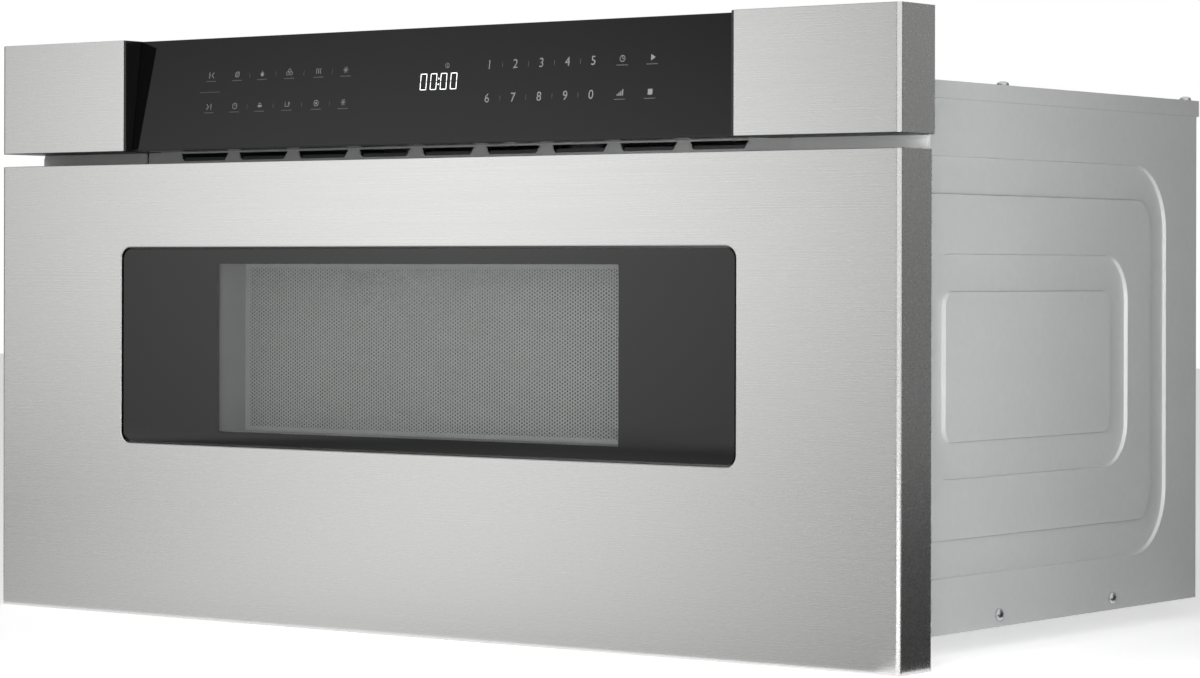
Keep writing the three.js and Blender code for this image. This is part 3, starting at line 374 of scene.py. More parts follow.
def lit_bar(name, colour, strength):
    """Bars of a light-emitting display, seen through the dark glass."""
    material, tree, shader, place = blank_material(name, colour, 0.4)
    shader.inputs["Emission Color"].default_value = (*colour[:3], 1.0)
    shader.inputs["Emission Strength"].default_value = strength
    glow = patterned(tree, place, 2.0).outputs["Fac"]
    put(tree, shader, Base_Color=shaded(tree, glow, colour, 0.95, 1.0))
    return material


finishes = {}


def make_finishes():
    """Makes each finish once, from the colours in the settings."""
    steel, window, touch = (getattr(bpy.context.scene, n) for n in ("md_steel", "md_window", "md_touch"))
    finishes.update(
        stainless=brushed_stainless("ground_stainless", steel.stainless),
        galvanised=galvanised_sheet("galvanised_sheet", steel.galvanised),
        zinc=zinc_plate("zinc_plate", steel.zinc),
        screen=satin_paint("screen_paint", window.screen, 0.4),
        tunnel=satin_paint("tunnel_paint", window.tunnel, 0.5),
        frame_paint=satin_paint("frame_paint", linear("#8f9091")),
        enamel=oven_enamel("oven_enamel", linear("#b4b6b7")),
        pane=float_glass("tinted_float_glass", linear("#dcdedd")),
        black_glass=black_glass("black_printed_glass", linear("#050505")),
        gloss_black=moulded_plastic("gloss_black_abs", linear("#0d0d0e"), 0.16, 3.0),
        black_plastic=moulded_plastic("black_pbt", linear("#1a1a1b")),
        # a dark grey that only the vent lips take: painted shade for the lips in the shadow under the control
        # panel
        grey_plastic=moulded_plastic("lip_shade_grey_plastic", linear("#5c5c5e")),
        board=solder_mask("green_solder_mask", linear("#1d5a38")),
        copper=copper_winding("copper_winding", linear("#c0754a")),
        laminated=laminated_steel("laminated_steel", linear("#6a6b6d")),
        ceramic=glass_ceramic("cordierite_ceramic", linear("#e9e6de")),
        nylon=moulded_plastic("natural_nylon", linear("#e2ddcf"), 0.45, 0.8),
        aluminium=zinc_plate("mill_aluminium", linear("#cfd1d3")),
        ink=printing_ink("touch_ink", touch.ink),
        faint_ink=printing_ink("faint_ink", touch.faint),
        lit=lit_bar("display_bar", touch.light, 1.1),
    )


# ------------------------------------------------------------------ mesh helpers

SHARP_ANGLE = 30.0  # an edge is sharp where its two faces turn by more degrees than this


def add_piece(name, bm, body, finish, replaces=(), smooth_angle=None):
    """Makes a bmesh a piece that rides on a body, takes a finish, and may stand for frame nodes. Its
    open borders stay sharp, so that the rim of a sheet doesn't shade the face beside it."""
    mesh = bpy.data.meshes.new(name)
    bm.edges.index_update()
    borders = [e.index for e in bm.edges if e.is_boundary]
    bm.to_mesh(mesh)
    bm.free()
    if smooth_angle is not None:
        mesh.shade_smooth()
        mesh.set_sharp_from_angle(angle=math.radians(smooth_angle))
        for number in borders:
            mesh.edges[number].use_edge_sharp = True
    mesh.materials.append(finishes[finish])
    piece = bpy.data.objects.new(name, mesh)
    bpy.context.scene.collection.objects.link(piece)
    if smooth_angle is not None:
        level = piece.modifiers.new("level_faces", "WEIGHTED_NORMAL")
        level.keep_sharp = True
        level.weight = 100
    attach(piece, body)
    if replaces:
        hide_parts(*replaces)
    return piece


def walled(piece, thickness):
    """Gives a sheet its thickness, behind its face."""
    solidify = piece.modifiers.new("wall", "SOLIDIFY")
    solidify.thickness = thickness
    solidify.offset = -1.0
    solidify.use_even_offset = True


def block(bm, xs, ys, zs):
    """Adds a box between pairs of places in metres and returns its vertices."""
    middle = Vector((sum(xs) / 2, sum(ys) / 2, sum(zs) / 2))
    size = Vector((abs(xs[1] - xs[0]), abs(ys[1] - ys[0]), abs(zs[1] - zs[0])))
    matrix = Matrix.Translation(middle) @ Matrix.Diagonal((*size, 1.0))
    return bmesh.ops.create_cube(bm, size=1.0, matrix=matrix)["verts"]


def bevelled(bm, edges, width, segments):
    bmesh.ops.bevel(bm, geom=edges, offset=width, offset_type="OFFSET", segments=segments, profile=0.5,
                    affect="EDGES", clamp_overlap=True, material=-1)


def sharp_edges(bm):
    limit = math.radians(SHARP_ANGLE)
    return [e for e in bm.edges if len(e.link_faces) == 2 and e.calc_face_angle() > limit]


def edges_along(bm, axis, keep):
    """Edges that run along one axis and whose middle passes the test."""
    found = []
    for edge in bm.edges:
        a, b = (v.co for v in edge.verts)
        run = (b - a).normalized()
        if abs(run["XYZ".index(axis)]) > 0.999 and keep((a + b) / 2):
            found.append(edge)
    return found


PLANES = {  # turns the XY plane into one whose normal is the axis named, keeping its two sides in order
    "-Y": Matrix.Rotation(QUARTER, 4, "X"),
    "+X": Matrix.Rotation(QUARTER, 4, "Z") @ Matrix.Rotation(QUARTER, 4, "X"),
    "+Z": Matrix.Identity(4),
}


def rounded_face(bm, us, vs, radius, plane, level, segments=8):
    """One face with round corners, us by vs in metres, on the plane at that level."""
    size = Matrix.Diagonal((us[1] - us[0], vs[1] - vs[0], 1.0, 1.0))
    middle = Matrix.Translation(((us[0] + us[1]) / 2, (vs[0] + vs[1]) / 2, 0.0))
    shift = {"-Y": (0.0, level, 0.0), "+X": (level, 0.0, 0.0), "+Z": (0.0, 0.0, level)}[plane]
    matrix = Matrix.Translation(shift) @ PLANES[plane] @ middle @ size
    corners = bmesh.ops.create_grid(bm, x_segments=1, y_segments=1, size=0.5, matrix=matrix)["verts"]
    face = corners[0].link_faces[0]
    if radius > 0.0:
        before = set(bm.faces) - {face}
        bmesh.ops.bevel(bm, geom=corners, offset=radius, offset_type="OFFSET", segments=segments,
                        profile=0.5, affect="VERTICES", clamp_overlap=True, material=-1)
        face = next(f for f in bm.faces if f not in before)
    return face


def inset(bm, face, width, depth):
    """Insets a face, which stays the inner one. A negative depth sinks it."""
    bmesh.ops.inset_region(bm, faces=[face], thickness=width, depth=depth, use_even_offset=True)


def ramp(bm, face, width, rise, steps=6):
    """Insets a face in steps that follow a smooth S, up or down by rise."""
    def height(t):
        return rise * t * t * (3.0 - 2.0 * t)
    for step in range(steps):
        inset(bm, face, width / steps, height((step + 1) / steps) - height(step / steps))


def open_face(bm, face):
    """Takes a face away and returns the edges that were around it."""
    edges = list(face.edges)
    bmesh.ops.delete(bm, geom=[face], context="FACES_ONLY")
    return edges


def fill_between(bm, *loops):
    """Fills the flat ring between edge loops."""
    edges = [e for loop in loops for e in loop]
    bmesh.ops.triangle_fill(bm, use_beauty=True, use_dissolve=False, edges=edges)


def extruded(bm, faces, direction):
    """Extrudes faces by a vector."""
    out = bmesh.ops.extrude_face_region(bm, geom=list(faces))
    verts = [g for g in out["geom"] if isinstance(g, bmesh.types.BMVert)]
    bmesh.ops.translate(bm, verts=verts, vec=direction)


def prism(bm, profile, xs):
    """A body with a (Y, Z) profile carried along X."""
    face = bm.faces.new([bm.verts.new((xs[0], y, z)) for y, z in profile])
    extruded(bm, [face], (xs[1] - xs[0], 0.0, 0.0))


def outwards(bm):
    bmesh.ops.recalc_face_normals(bm, faces=bm.faces)


def softened(node, width, segments=2):
    """A copy of a frame node's mesh whose sharp edges are rounded off, by a width in millimetres."""
    bm = bmesh.new()
    bm.from_mesh(frame["nodes"][node].data)
    bmesh.ops.remove_doubles(bm, verts=bm.verts, dist=1e-6)
    bmesh.ops.dissolve_limit(bm, angle_limit=math.radians(0.5), verts=bm.verts, edges=bm.edges,
                             use_dissolve_boundaries=False)
    bevelled(bm, sharp_edges(bm), width * MM, segments)
    return bm


def shown(node, finish):
    """Gives a frame node that stays as it is its finish."""
    materials = frame["nodes"][node].data.materials
    materials.clear()
    materials.append(finishes[finish])


# ------------------------------------------------------------------ drawer front and window

FRONT_EDGE = 0.5  # rounding of the front's top and bottom edges
RIM_STEPS = ((0.45, 0.1), (0.3, 0.25), (0.25, 0.45))  # (share of the rim's width, how far it sinks)
RIM_WALL = 3.6  # depth of the edge folded in around the window
WINDOW_GAP = 1.3  # between the rim and the glass
PANE_RADIUS = 6.5
PANE_EDGE = 0.6
VIEW_X = (-171.5 * MM, 171.5 * MM)  # the clear part of the window
VIEW_Z = (114.3 * MM, 229.3 * MM)
SKIN_THICKNESS = 1.2
SCREEN_BORDER = {"lift": 0.12, "thick": 0.1, "corner": 3.0}  # plain border before the perforated sheet
FIRST_ROW = 1.2  # pitches from the foot of the view to the lowest holes


class MD_OT_drawer_front(bpy.types.Operator):
    """Stainless skin of the drawer, folded at both sides, with a chamfered rim around the window"""

    bl_idname = "microwave_drawer.drawer_front"
    bl_label = "Drawer front"

    def execute(self, context):
        steel = context.scene.md_steel
        segments = context.scene.md_stage.segments
        back = span("drawer_front_skin", "Y")[1]
        bm = bmesh.new()
        block(bm, (-DRAWER_HALF, DRAWER_HALF), (FRONT_Y, back), DRAWER_Z)
        bevelled(bm, edges_along(bm, "Z", lambda m: m.y < back - MM), steel.bend, segments)
        level = [e for e in sharp_edges(bm) if all(v.co.y < back - MM for v in e.verts)]
        bevelled(bm, level, FRONT_EDGE * MM, 2)
        bmesh.ops.delete(bm, geom=[f for f in bm.faces if f.normal.y > 0.99], context="FACES")
        front = max((f for f in bm.faces if f.normal.y < -0.99), key=lambda f: f.calc_area())
        outer = open_face(bm, front)
        grow = WINDOW_GAP * MM + steel.rim
        rim = rounded_face(bm, (-PANE_HALF - grow, PANE_HALF + grow), (PANE_Z[0] - grow, PANE_Z[1] + grow),
                           PANE_RADIUS * MM + grow, "-Y", FRONT_Y, segments)
        hole = list(rim.edges)
        fill_between(bm, outer, hole)
        for width, depth in RIM_STEPS:
            inset(bm, rim, width * steel.rim, -depth * MM)
        edge = open_face(bm, rim)
        out = bmesh.ops.extrude_edge_only(bm, edges=edge)["geom"]
        bmesh.ops.translate(bm, verts=[g for g in out if isinstance(g, bmesh.types.BMVert)],
                            vec=(0.0, RIM_WALL * MM, 0.0))
        outwards(bm)
        skin = add_piece("drawer_front_panel", bm, "drawer", "stainless",
                         ["drawer_front_skin"], 35)
        walled(skin, SKIN_THICKNESS * MM)
        return {"FINISHED"}


class MD_OT_window(bpy.types.Operator):
    """Window: bevelled glass printed black around its clear middle, painted tunnel, perforated screen"""

    bl_idname = "microwave_drawer.window"
    bl_label = "Window"

    def execute(self, context):
        segments = context.scene.md_stage.segments
        y0, y1 = span("window_glass", "Y")
        bm = bmesh.new()
        around = rounded_face(bm, (-PANE_HALF, PANE_HALF), PANE_Z, PANE_RADIUS * MM, "-Y", y0, segments)
        outer = open_face(bm, around)
        view = rounded_face(bm, VIEW_X, VIEW_Z, 0.0, "-Y", y0)
        fill_between(bm, outer, open_face(bm, view))
        extruded(bm, bm.faces[:], (0.0, y1 - y0, 0.0))
        outwards(bm)
        rim = [e for e in sharp_edges(bm) if all(v.co.y < y0 + 0.1 * MM for v in e.verts)]
        bevelled(bm, [e for e in rim if abs(e.verts[0].co.x) > VIEW_X[1] + MM], PANE_EDGE * MM, 2)
        add_piece("window_border", bm, "drawer", "black_glass", ["window_glass"], 30)
        bm = bmesh.new()
        block(bm, VIEW_X, (y0, y1), VIEW_Z)
        add_piece("window_pane", bm, "drawer", "pane")
        shown("glass_carrier", "tunnel")
        self.screen(context.scene.md_window)
        # the inner pane takes the black printed glass: painted shade for the unlit oven that the screen's
        # holes show
        shown("inner_pane", "black_glass")
        return {"FINISHED"}

    def screen(self, window):
        """The screen's holes stand in columns, each half a pitch off its neighbours. One cell is the
        six-sided patch around a hole; two cells make the unit that the arrays repeat."""
        low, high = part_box("window_screen")
        pitch, radius = window.pitch, window.hole / 2
        column = pitch * math.sqrt(3) / 2
        bm = bmesh.new()
        for x, z in ((0.0, 0.0), (column, pitch / 2)):
            loops = []
            for size in (pitch / math.sqrt(3), radius):
                ring = bmesh.ops.create_circle(bm, cap_ends=False, radius=size, segments=6)["verts"]
                bmesh.ops.rotate(bm, verts=ring, cent=(0, 0, 0), matrix=Matrix.Rotation(QUARTER, 3, "Z"))
                bmesh.ops.transform(bm, verts=ring, matrix=Matrix.Translation((x, 0.0, z)) @ PLANES["-Y"])
                loops.append(sorted({e for v in ring for e in v.link_edges}, key=lambda e: e.index))
            bmesh.ops.bridge_loops(bm, edges=[e for loop in loops for e in loop])
        outwards(bm)
        if sum(f.normal.y for f in bm.faces) > 0:
            bmesh.ops.reverse_faces(bm, faces=bm.faces)
        columns = int(VIEW_X[1] / column) - 1
        rows = int((VIEW_Z[1] - VIEW_Z[0]) / pitch) - 1
        start = Vector((-(2 * columns - 1) * column / 2, low.y, VIEW_Z[0] + FIRST_ROW * pitch))
        bmesh.ops.translate(bm, verts=bm.verts, vec=start)
        sheet = add_piece("perforated_screen", bm, "drawer", "screen", ["window_screen"])
        for name, count, step in (("columns", columns, (2 * column, 0, 0)), ("rows", rows, (0, 0, pitch))):
            array = sheet.modifiers.new(name, "ARRAY")
            array.use_relative_offset = False
            array.use_constant_offset = True
            array.constant_offset_displace = step
            array.count = count
            array.use_merge_vertices = True
            array.merge_threshold = 0.05 * MM
        border = bmesh.new()
        level = low.y - SCREEN_BORDER["lift"] * MM
        face = rounded_face(border, (low.x, high.x), (low.z, high.z), SCREEN_BORDER["corner"] * MM, "-Y",
                            level, 4)
        outer = open_face(border, face)
        inner = rounded_face(border, (start.x, -start.x), (start.z, start.z + (rows - 0.5) * pitch),
                             0.0, "-Y", level)
        fill_between(border, outer, open_face(border, inner))
        outwards(border)
        plain = add_piece("screen_border", border, "drawer", "screen")
        walled(plain, SCREEN_BORDER["thick"] * MM)


# ------------------------------------------------------------------ control panel

GLASS_THICK = 3.0
GLASS_EDGE = 0.4
GLASS_FOOT = 0.9  # black gap under the glass
CAP_EDGE = 0.4
SHADE_FOOT = 0.3  # height of the black foot under an end cap, painted shade for the cap's shadowed underside
FOOT_INSET = 0.8
INK_SINK = 0.01  # how far the ink reaches into the glass
FONT_SCALE = 1.38  # the font's size over the height of its figures


def glass_plane():
    """Turns (X, 0, height up the glass) into the frame, on the face of the leaning glass."""
    foot, head = span("control_glass", "Y")
    rise = CONTROL_Z[1] - CONTROL_Z[0]
    lean = math.atan2(head - GLASS_THICK * MM - foot, rise)
    return Matrix.Translation((0.0, foot, CONTROL_Z[0])) @ Matrix.Rotation(-lean, 4, "X")


class MD_OT_control_panel(bpy.types.Operator):
    """Leaning black glass, its black housing and the two stainless end blocks"""

    bl_idname = "microwave_drawer.control_panel"
    bl_label = "Control panel"

    def execute(self, context):
        steel = context.scene.md_steel
        segments = context.scene.md_stage.segments
        foot, head = span("control_glass", "Y")
        thick, edge = GLASS_THICK * MM, GLASS_EDGE * MM
        low, high = CONTROL_Z
        rise = GLASS_FOOT * MM
        lean = rise * (head - thick - foot) / (high - low)
        bm = bmesh.new()
        prism(bm, [(foot + edge, low), (foot + thick, low), (foot + thick, low + rise),
                   (foot + lean + edge, low + rise)], (-CONTROL_HALF, CONTROL_HALF))
        outwards(bm)
        add_piece("glass_foot", bm, "chassis", "black_plastic")
        bm = bmesh.new()
        prism(bm, [(foot + lean, low + rise), (foot + lean + thick, low + rise), (head, high),
                   (head - thick, high)], (-CONTROL_HALF, CONTROL_HALF))
        outwards(bm)
        bevelled(bm, sharp_edges(bm), edge, 2)
        add_piece("control_pane", bm, "chassis", "black_glass", ["control_glass"], 30)
        shown("control_housing", "gloss_black")
        shown("display_board", "board")
        for side, node in ((1, "right_trim_block"), (-1, "left_trim_block")):
            self.end_block(side, node, steel, segments)
        return {"FINISHED"}

    def end_block(self, side, node, steel, segments):
        """A folded stainless cap, open at the back, on a black foot. The foot's black is painted shade for the
        shadow under the cap.
        """
        low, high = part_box(node)
        outer = high.x if side > 0 else low.x
        bm = bmesh.new()
        block(bm, (low.x, high.x), (low.y, high.y), (low.z + SHADE_FOOT * MM, high.z))
        bend = edges_along(bm, "Z", lambda m: m.y < high.y - MM and abs(m.x - outer) < MM)
        bevelled(bm, bend, steel.bend, segments)
        fold = [e for e in sharp_edges(bm) if all(v.co.y < high.y - MM for v in e.verts)]
        bevelled(bm, fold, CAP_EDGE * MM, 2)
        bmesh.ops.delete(bm, geom=[f for f in bm.faces if f.normal.y > 0.99], context="FACES")
        piece = add_piece(node.replace("trim_block", "end_cap"), bm, "chassis",
                          "stainless", [node], 35)
        walled(piece, SKIN_THICKNESS * MM)
        # the black foot under the cap is painted shade: it stands for the cap's underside, which lies in
        # shadow
        bm = bmesh.new()
        edge = FOOT_INSET * MM
        block(bm, (low.x + edge, high.x - edge), (low.y + edge, high.y), (low.z, low.z + SHADE_FOOT * MM))
        add_piece(node.replace("trim_block", "end_shade_foot"), bm, "chassis", "black_plastic")


class Marks:
    """Flat marks drawn in millimetres on the control glass: X across and s up the glass."""

    def __init__(self, ink_mm):
        self.bm = bmesh.new()
        self.ink = ink_mm

    def raise_face(self, verts):
        faces = {f for v in verts for f in v.link_faces}
        extruded(self.bm, faces, (0.0, 0.0, self.ink))

    def bar(self, x, s, length, height, turn=0.0):
        matrix = (Matrix.Translation((x, s, 0.0)) @ Matrix.Rotation(math.radians(turn), 4, "Z")
                  @ Matrix.Diagonal((length, height, 1.0, 1.0)))
        self.raise_face(bmesh.ops.create_grid(self.bm, x_segments=1, y_segments=1, size=0.5,
                                              matrix=matrix)["verts"])

    def disc(self, x, s, radius, sides=16, turn=0.0):
        matrix = Matrix.Translation((x, s, 0.0)) @ Matrix.Rotation(math.radians(turn), 4, "Z")
        self.raise_face(bmesh.ops.create_circle(self.bm, cap_ends=True, radius=radius, segments=sides,
                                                matrix=matrix)["verts"])

    def ring(self, x, s, radius, stroke=0.45, sides=20):
        loops = [bmesh.ops.create_circle(self.bm, cap_ends=False, radius=r, segments=sides,
                                         matrix=Matrix.Translation((x, s, 0.0)))["verts"]
                 for r in (radius, radius - stroke)]
        edges = {e for loop in loops for v in loop for e in v.link_edges}
        faces = bmesh.ops.bridge_loops(self.bm, edges=list(edges))["faces"]
        extruded(self.bm, faces, (0.0, 0.0, self.ink))

    def number(self, text, x, s, height):
        """A plain number from the program's own font, centred on its place."""
        curve = bpy.data.curves.new("number", "FONT")
        curve.body = text
        curve.size = height * FONT_SCALE
        curve.align_x, curve.align_y = "CENTER", "CENTER"
        curve.extrude = self.ink / 2
        curve.resolution_u = 4
        source = bpy.data.objects.new("number", curve)
        mesh = bpy.data.meshes.new_from_object(source)
        mesh.transform(Matrix.Translation((x, s, self.ink / 2)))
        self.bm.from_mesh(mesh)
        bpy.data.objects.remove(source)
        bpy.data.meshes.remove(mesh)

    def finish(self, name, finish):
        to_glass = glass_plane() @ Matrix.Translation((0.0, INK_SINK * MM, 0.0)) @ PLANES["-Y"]
        self.bm.transform(to_glass @ Matrix.Scale(MM, 4))
        outwards(self.bm)
        return add_piece(name, self.bm, "chassis", finish)


LABEL_X = [-188.0, -163.9, -140.8, -116.0, -89.6, -65.5]
DIGIT_X = [58.0, 79.5, 100.8, 122.0, 142.7]
RIGHT_X = [165.7, 189.3]
ROW_S = (51.0, 29.0)
SYMBOL_RISE = 0.8  # a pictogram's middle over that of its row
TICK = (0.35, 3.4)  # width and height of the rules between keys
UNDERLINE = {"drop": 3.4, "long": 9.0, "thick": 0.6}
LONG_RULE = (19.0, 0.4)
CLOCK_X = (0.5, 31.5)
CLOCK_S = (36.0, 47.0)
CLOCK_BAR = {"digit": 5.4, "stroke": 0.5, "dot": 0.95, "dot_rise": 1.9}
CLOCK_SYMBOL = {"place": (22.5, 52.0), "radius": 1.7, "stroke": 0.35, "hand": 1.6}


def draw_open(marks, x, s, way=1):
    for turn, rise in ((45, -1), (-45, 1)):
        marks.bar(x + way * 1.2, s - rise * 0.9, 3.0, 0.6, way * turn)
    marks.bar(x - way * 1.8, s, 0.6, 4.2)


def draw_close(marks, x, s):
    draw_open(marks, x, s, -1)


def draw_quiet(marks, x, s):
    marks.ring(x, s, 2.0)
    marks.bar(x, s, 5.2, 0.5, 45)


def draw_drop(marks, x, s):
    marks.disc(x, s - 0.6, 1.5)
    marks.disc(x, s + 0.7, 1.2, 3)


def draw_kernels(marks, x, s):
    for dx, ds in ((-1.5, -0.8), (1.5, -0.8), (0.0, 1.2)):
        marks.ring(x + dx, s + ds, 1.4, 0.4, 12)


def draw_heat(marks, x, s):
    for dx in (-1.8, 0.0, 1.8):
        marks.bar(x + dx - 0.25, s - 0.9, 0.5, 2.0, 14)
        marks.bar(x + dx - 0.25, s + 0.9, 0.5, 2.0, -14)


def draw_frost(marks, x, s):
    for turn in (0, 60, 120):
        marks.bar(x, s, 4.6, 0.45, turn)


def draw_clock(marks, x, s):
    marks.ring(x, s, 2.2)
    marks.bar(x, s + 0.6, 0.4, 1.5)
    marks.bar(x + 0.5, s, 1.3, 0.4)


def draw_block(marks, x, s):
    marks.bar(x, s - 0.6, 3.6, 1.6)
    marks.bar(x, s + 1.2, 2.2, 0.5)


def draw_cup(marks, x, s):
    for dx in (-1.6, 1.6):
        marks.bar(x + dx, s + 0.2, 0.5, 3.0)
    marks.bar(x, s - 1.4, 3.7, 0.5)
    marks.bar(x + 2.4, s + 0.4, 0.5, 1.4)


def draw_target(marks, x, s):
    marks.ring(x, s, 2.2)
    marks.disc(x, s, 0.8)


def draw_start(marks, x, s):
    marks.disc(x, s, 2.4, 3, -90)


def draw_stop(marks, x, s):
    marks.bar(x, s, 3.6, 3.6)


def draw_power(marks, x, s):
    for i in range(4):
        marks.bar(x - 2.1 + i * 1.4, s - 1.9 + 0.5 * (i + 1), 0.8, 1.0 * (i + 1))


UPPER_LABELS = (draw_open, draw_quiet, draw_drop, draw_kernels, draw_heat, draw_frost)
LOWER_LABELS = (draw_close, draw_clock, draw_block, draw_cup, draw_target, draw_frost)
UPPER_KEYS = (draw_clock, draw_start)
LOWER_KEYS = (draw_power, draw_stop)


class MD_OT_touch_marks(bpy.types.Operator):
    """Number keys, generic pictograms, rules and the lit clock on the control glass"""

    bl_idname = "microwave_drawer.touch_marks"
    bl_label = "Touch marks"

    def execute(self, context):
        touch = context.scene.md_touch
        ink = touch.raise_height / MM
        bright, faint = Marks(ink), Marks(ink)
        for row, numbers in zip(ROW_S, ("12345", "67890")):
            for x, number in zip(DIGIT_X, numbers):
                bright.number(number, x, row, touch.digit / MM)
            for a, b in zip(DIGIT_X, DIGIT_X[1:]):
                faint.bar((a + b) / 2, row, *TICK)
        rows = ((ROW_S[0], UPPER_LABELS, UPPER_KEYS), (ROW_S[1], LOWER_LABELS, LOWER_KEYS))
        for row, labels, keys in rows:
            for x, draw in zip(LABEL_X + RIGHT_X, labels + keys):
                draw(bright, x, row + SYMBOL_RISE)
                faint.bar(x, row - UNDERLINE["drop"], UNDERLINE["long"], UNDERLINE["thick"])
            for a, b in zip(LABEL_X[1:], LABEL_X[2:]):
                faint.bar((a + b) / 2, row, *TICK)
        faint.bar(LABEL_X[0], sum(ROW_S) / 2, *LONG_RULE)
        bright.finish("touch_symbols", "ink")
        faint.finish("touch_rules", "faint_ink")
        self.clock(ink)
        return {"FINISHED"}

    def clock(self, ink):
        """Four figures of lit bars with two dots between them, and a small ring above."""
        lit = Marks(ink)
        tall, wide, stroke = CLOCK_S[1] - CLOCK_S[0], CLOCK_BAR["digit"], CLOCK_BAR["stroke"]
        middle = sum(CLOCK_S) / 2
        step = (CLOCK_X[1] - CLOCK_X[0] - wide) / 3
        for i in range(4):
            x = CLOCK_X[0] + wide / 2 + i * step
            for side in (-1, 1):
                lit.bar(x, middle + side * (tall - stroke) / 2, wide - 1.6 * stroke, stroke)
                for half in (-1, 1):
                    lit.bar(x + side * (wide - stroke) / 2, middle + half * tall / 4, stroke,
                            tall / 2 - 1.1 * stroke)
        for way in (-1, 1):
            lit.bar(sum(CLOCK_X) / 2, middle + way * CLOCK_BAR["dot_rise"], CLOCK_BAR["dot"], CLOCK_BAR["dot"])
        lit.finish("clock_bars", "lit")
        small = Marks(ink)
        small.ring(*CLOCK_SYMBOL["place"], CLOCK_SYMBOL["radius"], CLOCK_SYMBOL["stroke"])
        small.bar(*CLOCK_SYMBOL["place"], CLOCK_SYMBOL["stroke"], CLOCK_SYMBOL["hand"])
        small.finish("clock_symbol", "ink")


VENT_COUNT = 9
VENT_PITCH = 55.2
VENT_HALF = 19.4
VENT_LIP = [(41.0, 301.9), (41.9, 304.4), (41.9, 301.9)]  # (behind the front, height) of a lip's section
JOINT_X = (274.45, 275.65)
JOINT_Y = (40.6, 40.9)  # behind the front
JOINT_Z = (293.2, 309.5)


class MD_OT_vent_strip(bpy.types.Operator):
    """Vent strip between the drawer and the control panel, with a sloping lip in each vent. The lips' dark
    grey is painted shade for the shadow under the control panel.
    """

    bl_idname = "microwave_drawer.vent_strip"
    bl_label = "Vent strip"

    def execute(self, context):
        add_piece("air_grille", softened("vent_strip", 0.2), "chassis", "galvanised",
                  ["vent_strip"])
        bm = bmesh.new()
        profile = [(behind(y), z * MM) for y, z in VENT_LIP]
        for number in range(VENT_COUNT):
            middle = (number - (VENT_COUNT - 1) / 2) * VENT_PITCH
            prism(bm, profile, ((middle - VENT_HALF) * MM, (middle + VENT_HALF) * MM))
        outwards(bm)
        # the lips' dark grey is painted shade: they lie in the shadow under the control panel
        add_piece("vent_lips", bm, "chassis", "grey_plastic")
        bm = bmesh.new()
        for side in (1, -1):
            xs = sorted(side * x * MM for x in JOINT_X)
            block(bm, xs, [behind(y) for y in JOINT_Y], [z * MM for z in JOINT_Z])
        add_piece("strip_joints", bm, "chassis", "black_plastic")
        return {"FINISHED"}


# ------------------------------------------------------------------ chassis

BAND_LOOPS = [  # (front, rear, low, top, corner radius), outermost first, in mm
    (20.0, 380.0, 34.7, 297.2, 44.0),
    (20.0, 358.0, 58.5, 273.1, 19.0),
    (68.0, 326.0, 95.4, 236.4, 30.0),
    (93.0, 302.0, 119.1, 212.2, 9.0),
]
SHEET_THICKNESS = 1.0
SHEET_EDGES = {"top_cover": 0.8, "rear_panel": 0.2, "base_pan": 0.3, "front_frame": 0.2}  # their rounding


class MD_OT_chassis_sheets(bpy.types.Operator):
    """Pressed side panels, top cover, back, base and front flange"""

    bl_idname = "microwave_drawer.chassis_sheets"
    bl_label = "Chassis sheets"

    def execute(self, context):
        steel = context.scene.md_steel
        for side, node in ((1, "right_side_panel"), (-1, "left_side_panel")):
            self.side_panel(side, node, steel)
        for node, width in SHEET_EDGES.items():
            add_piece(f"{node}_sheet", softened(node, width), "chassis", "galvanised",
                      [node], 30)
        return {"FINISHED"}

    def side_panel(self, side, node, steel):
        """A flat sheet with two nested bands pressed in. The outer one runs out at the front edge."""
        low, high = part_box(node)
        level = high.x if side > 0 else -low.x
        bm = bmesh.new()

        def loop(number, grow=0.0, sink=0.0):
            front, rear, bottom, top, radius = BAND_LOOPS[number]
            return rounded_face(bm, (behind(front) - grow, behind(rear) + grow),
                                (bottom * MM - grow, top * MM + grow), radius * MM + grow, "+X",
                                level - sink, 10)

        sheet = rounded_face(bm, (behind(0.0), high.y), (low.z, high.z), 0.0, "+X", level)
        around = open_face(bm, sheet)
        for outer, inner in ((0, 1), (2, 3)):
            face = loop(outer)
            fill_between(bm, around, list(face.edges))
            ramp(bm, face, steel.ramp, -steel.band_depth)
            floor = open_face(bm, face)
            face = loop(inner, steel.ramp, steel.band_depth)
            fill_between(bm, floor, list(face.edges))
            ramp(bm, face, steel.ramp, steel.band_depth)
            if outer == 0:
                around = open_face(bm, face)
        bmesh.ops.bisect_plane(bm, geom=bm.verts[:] + bm.edges[:] + bm.faces[:], dist=1e-7,
                               plane_co=(0, low.y, 0), plane_no=(0, 1, 0), clear_inner=True)
        outwards(bm)
        if sum(f.normal.x * f.calc_area() for f in bm.faces) < 0:
            bmesh.ops.reverse_faces(bm, faces=bm.faces)
        if side < 0:
            bmesh.ops.scale(bm, verts=bm.verts, vec=(-1, 1, 1))
            bmesh.ops.reverse_faces(bm, faces=bm.faces)
        panel = add_piece(node.replace("_panel", "_sheet"), bm, "chassis", "galvanised",
                          [node], 40)
        walled(panel, SHEET_THICKNESS * MM)


SCREW_RADIUS = 4.0
SCREW_RISE = 2.8
SCREW_TURN = 0.4  # radians that the cross of a side screw is turned
SHANK_RADIUS = 1.9
SHANK_LENGTH = 6.5
CROSS = {"reach": 2.1, "half": 0.45, "floor": 1.3, "top": 4.0}  # the tool that cuts the recess


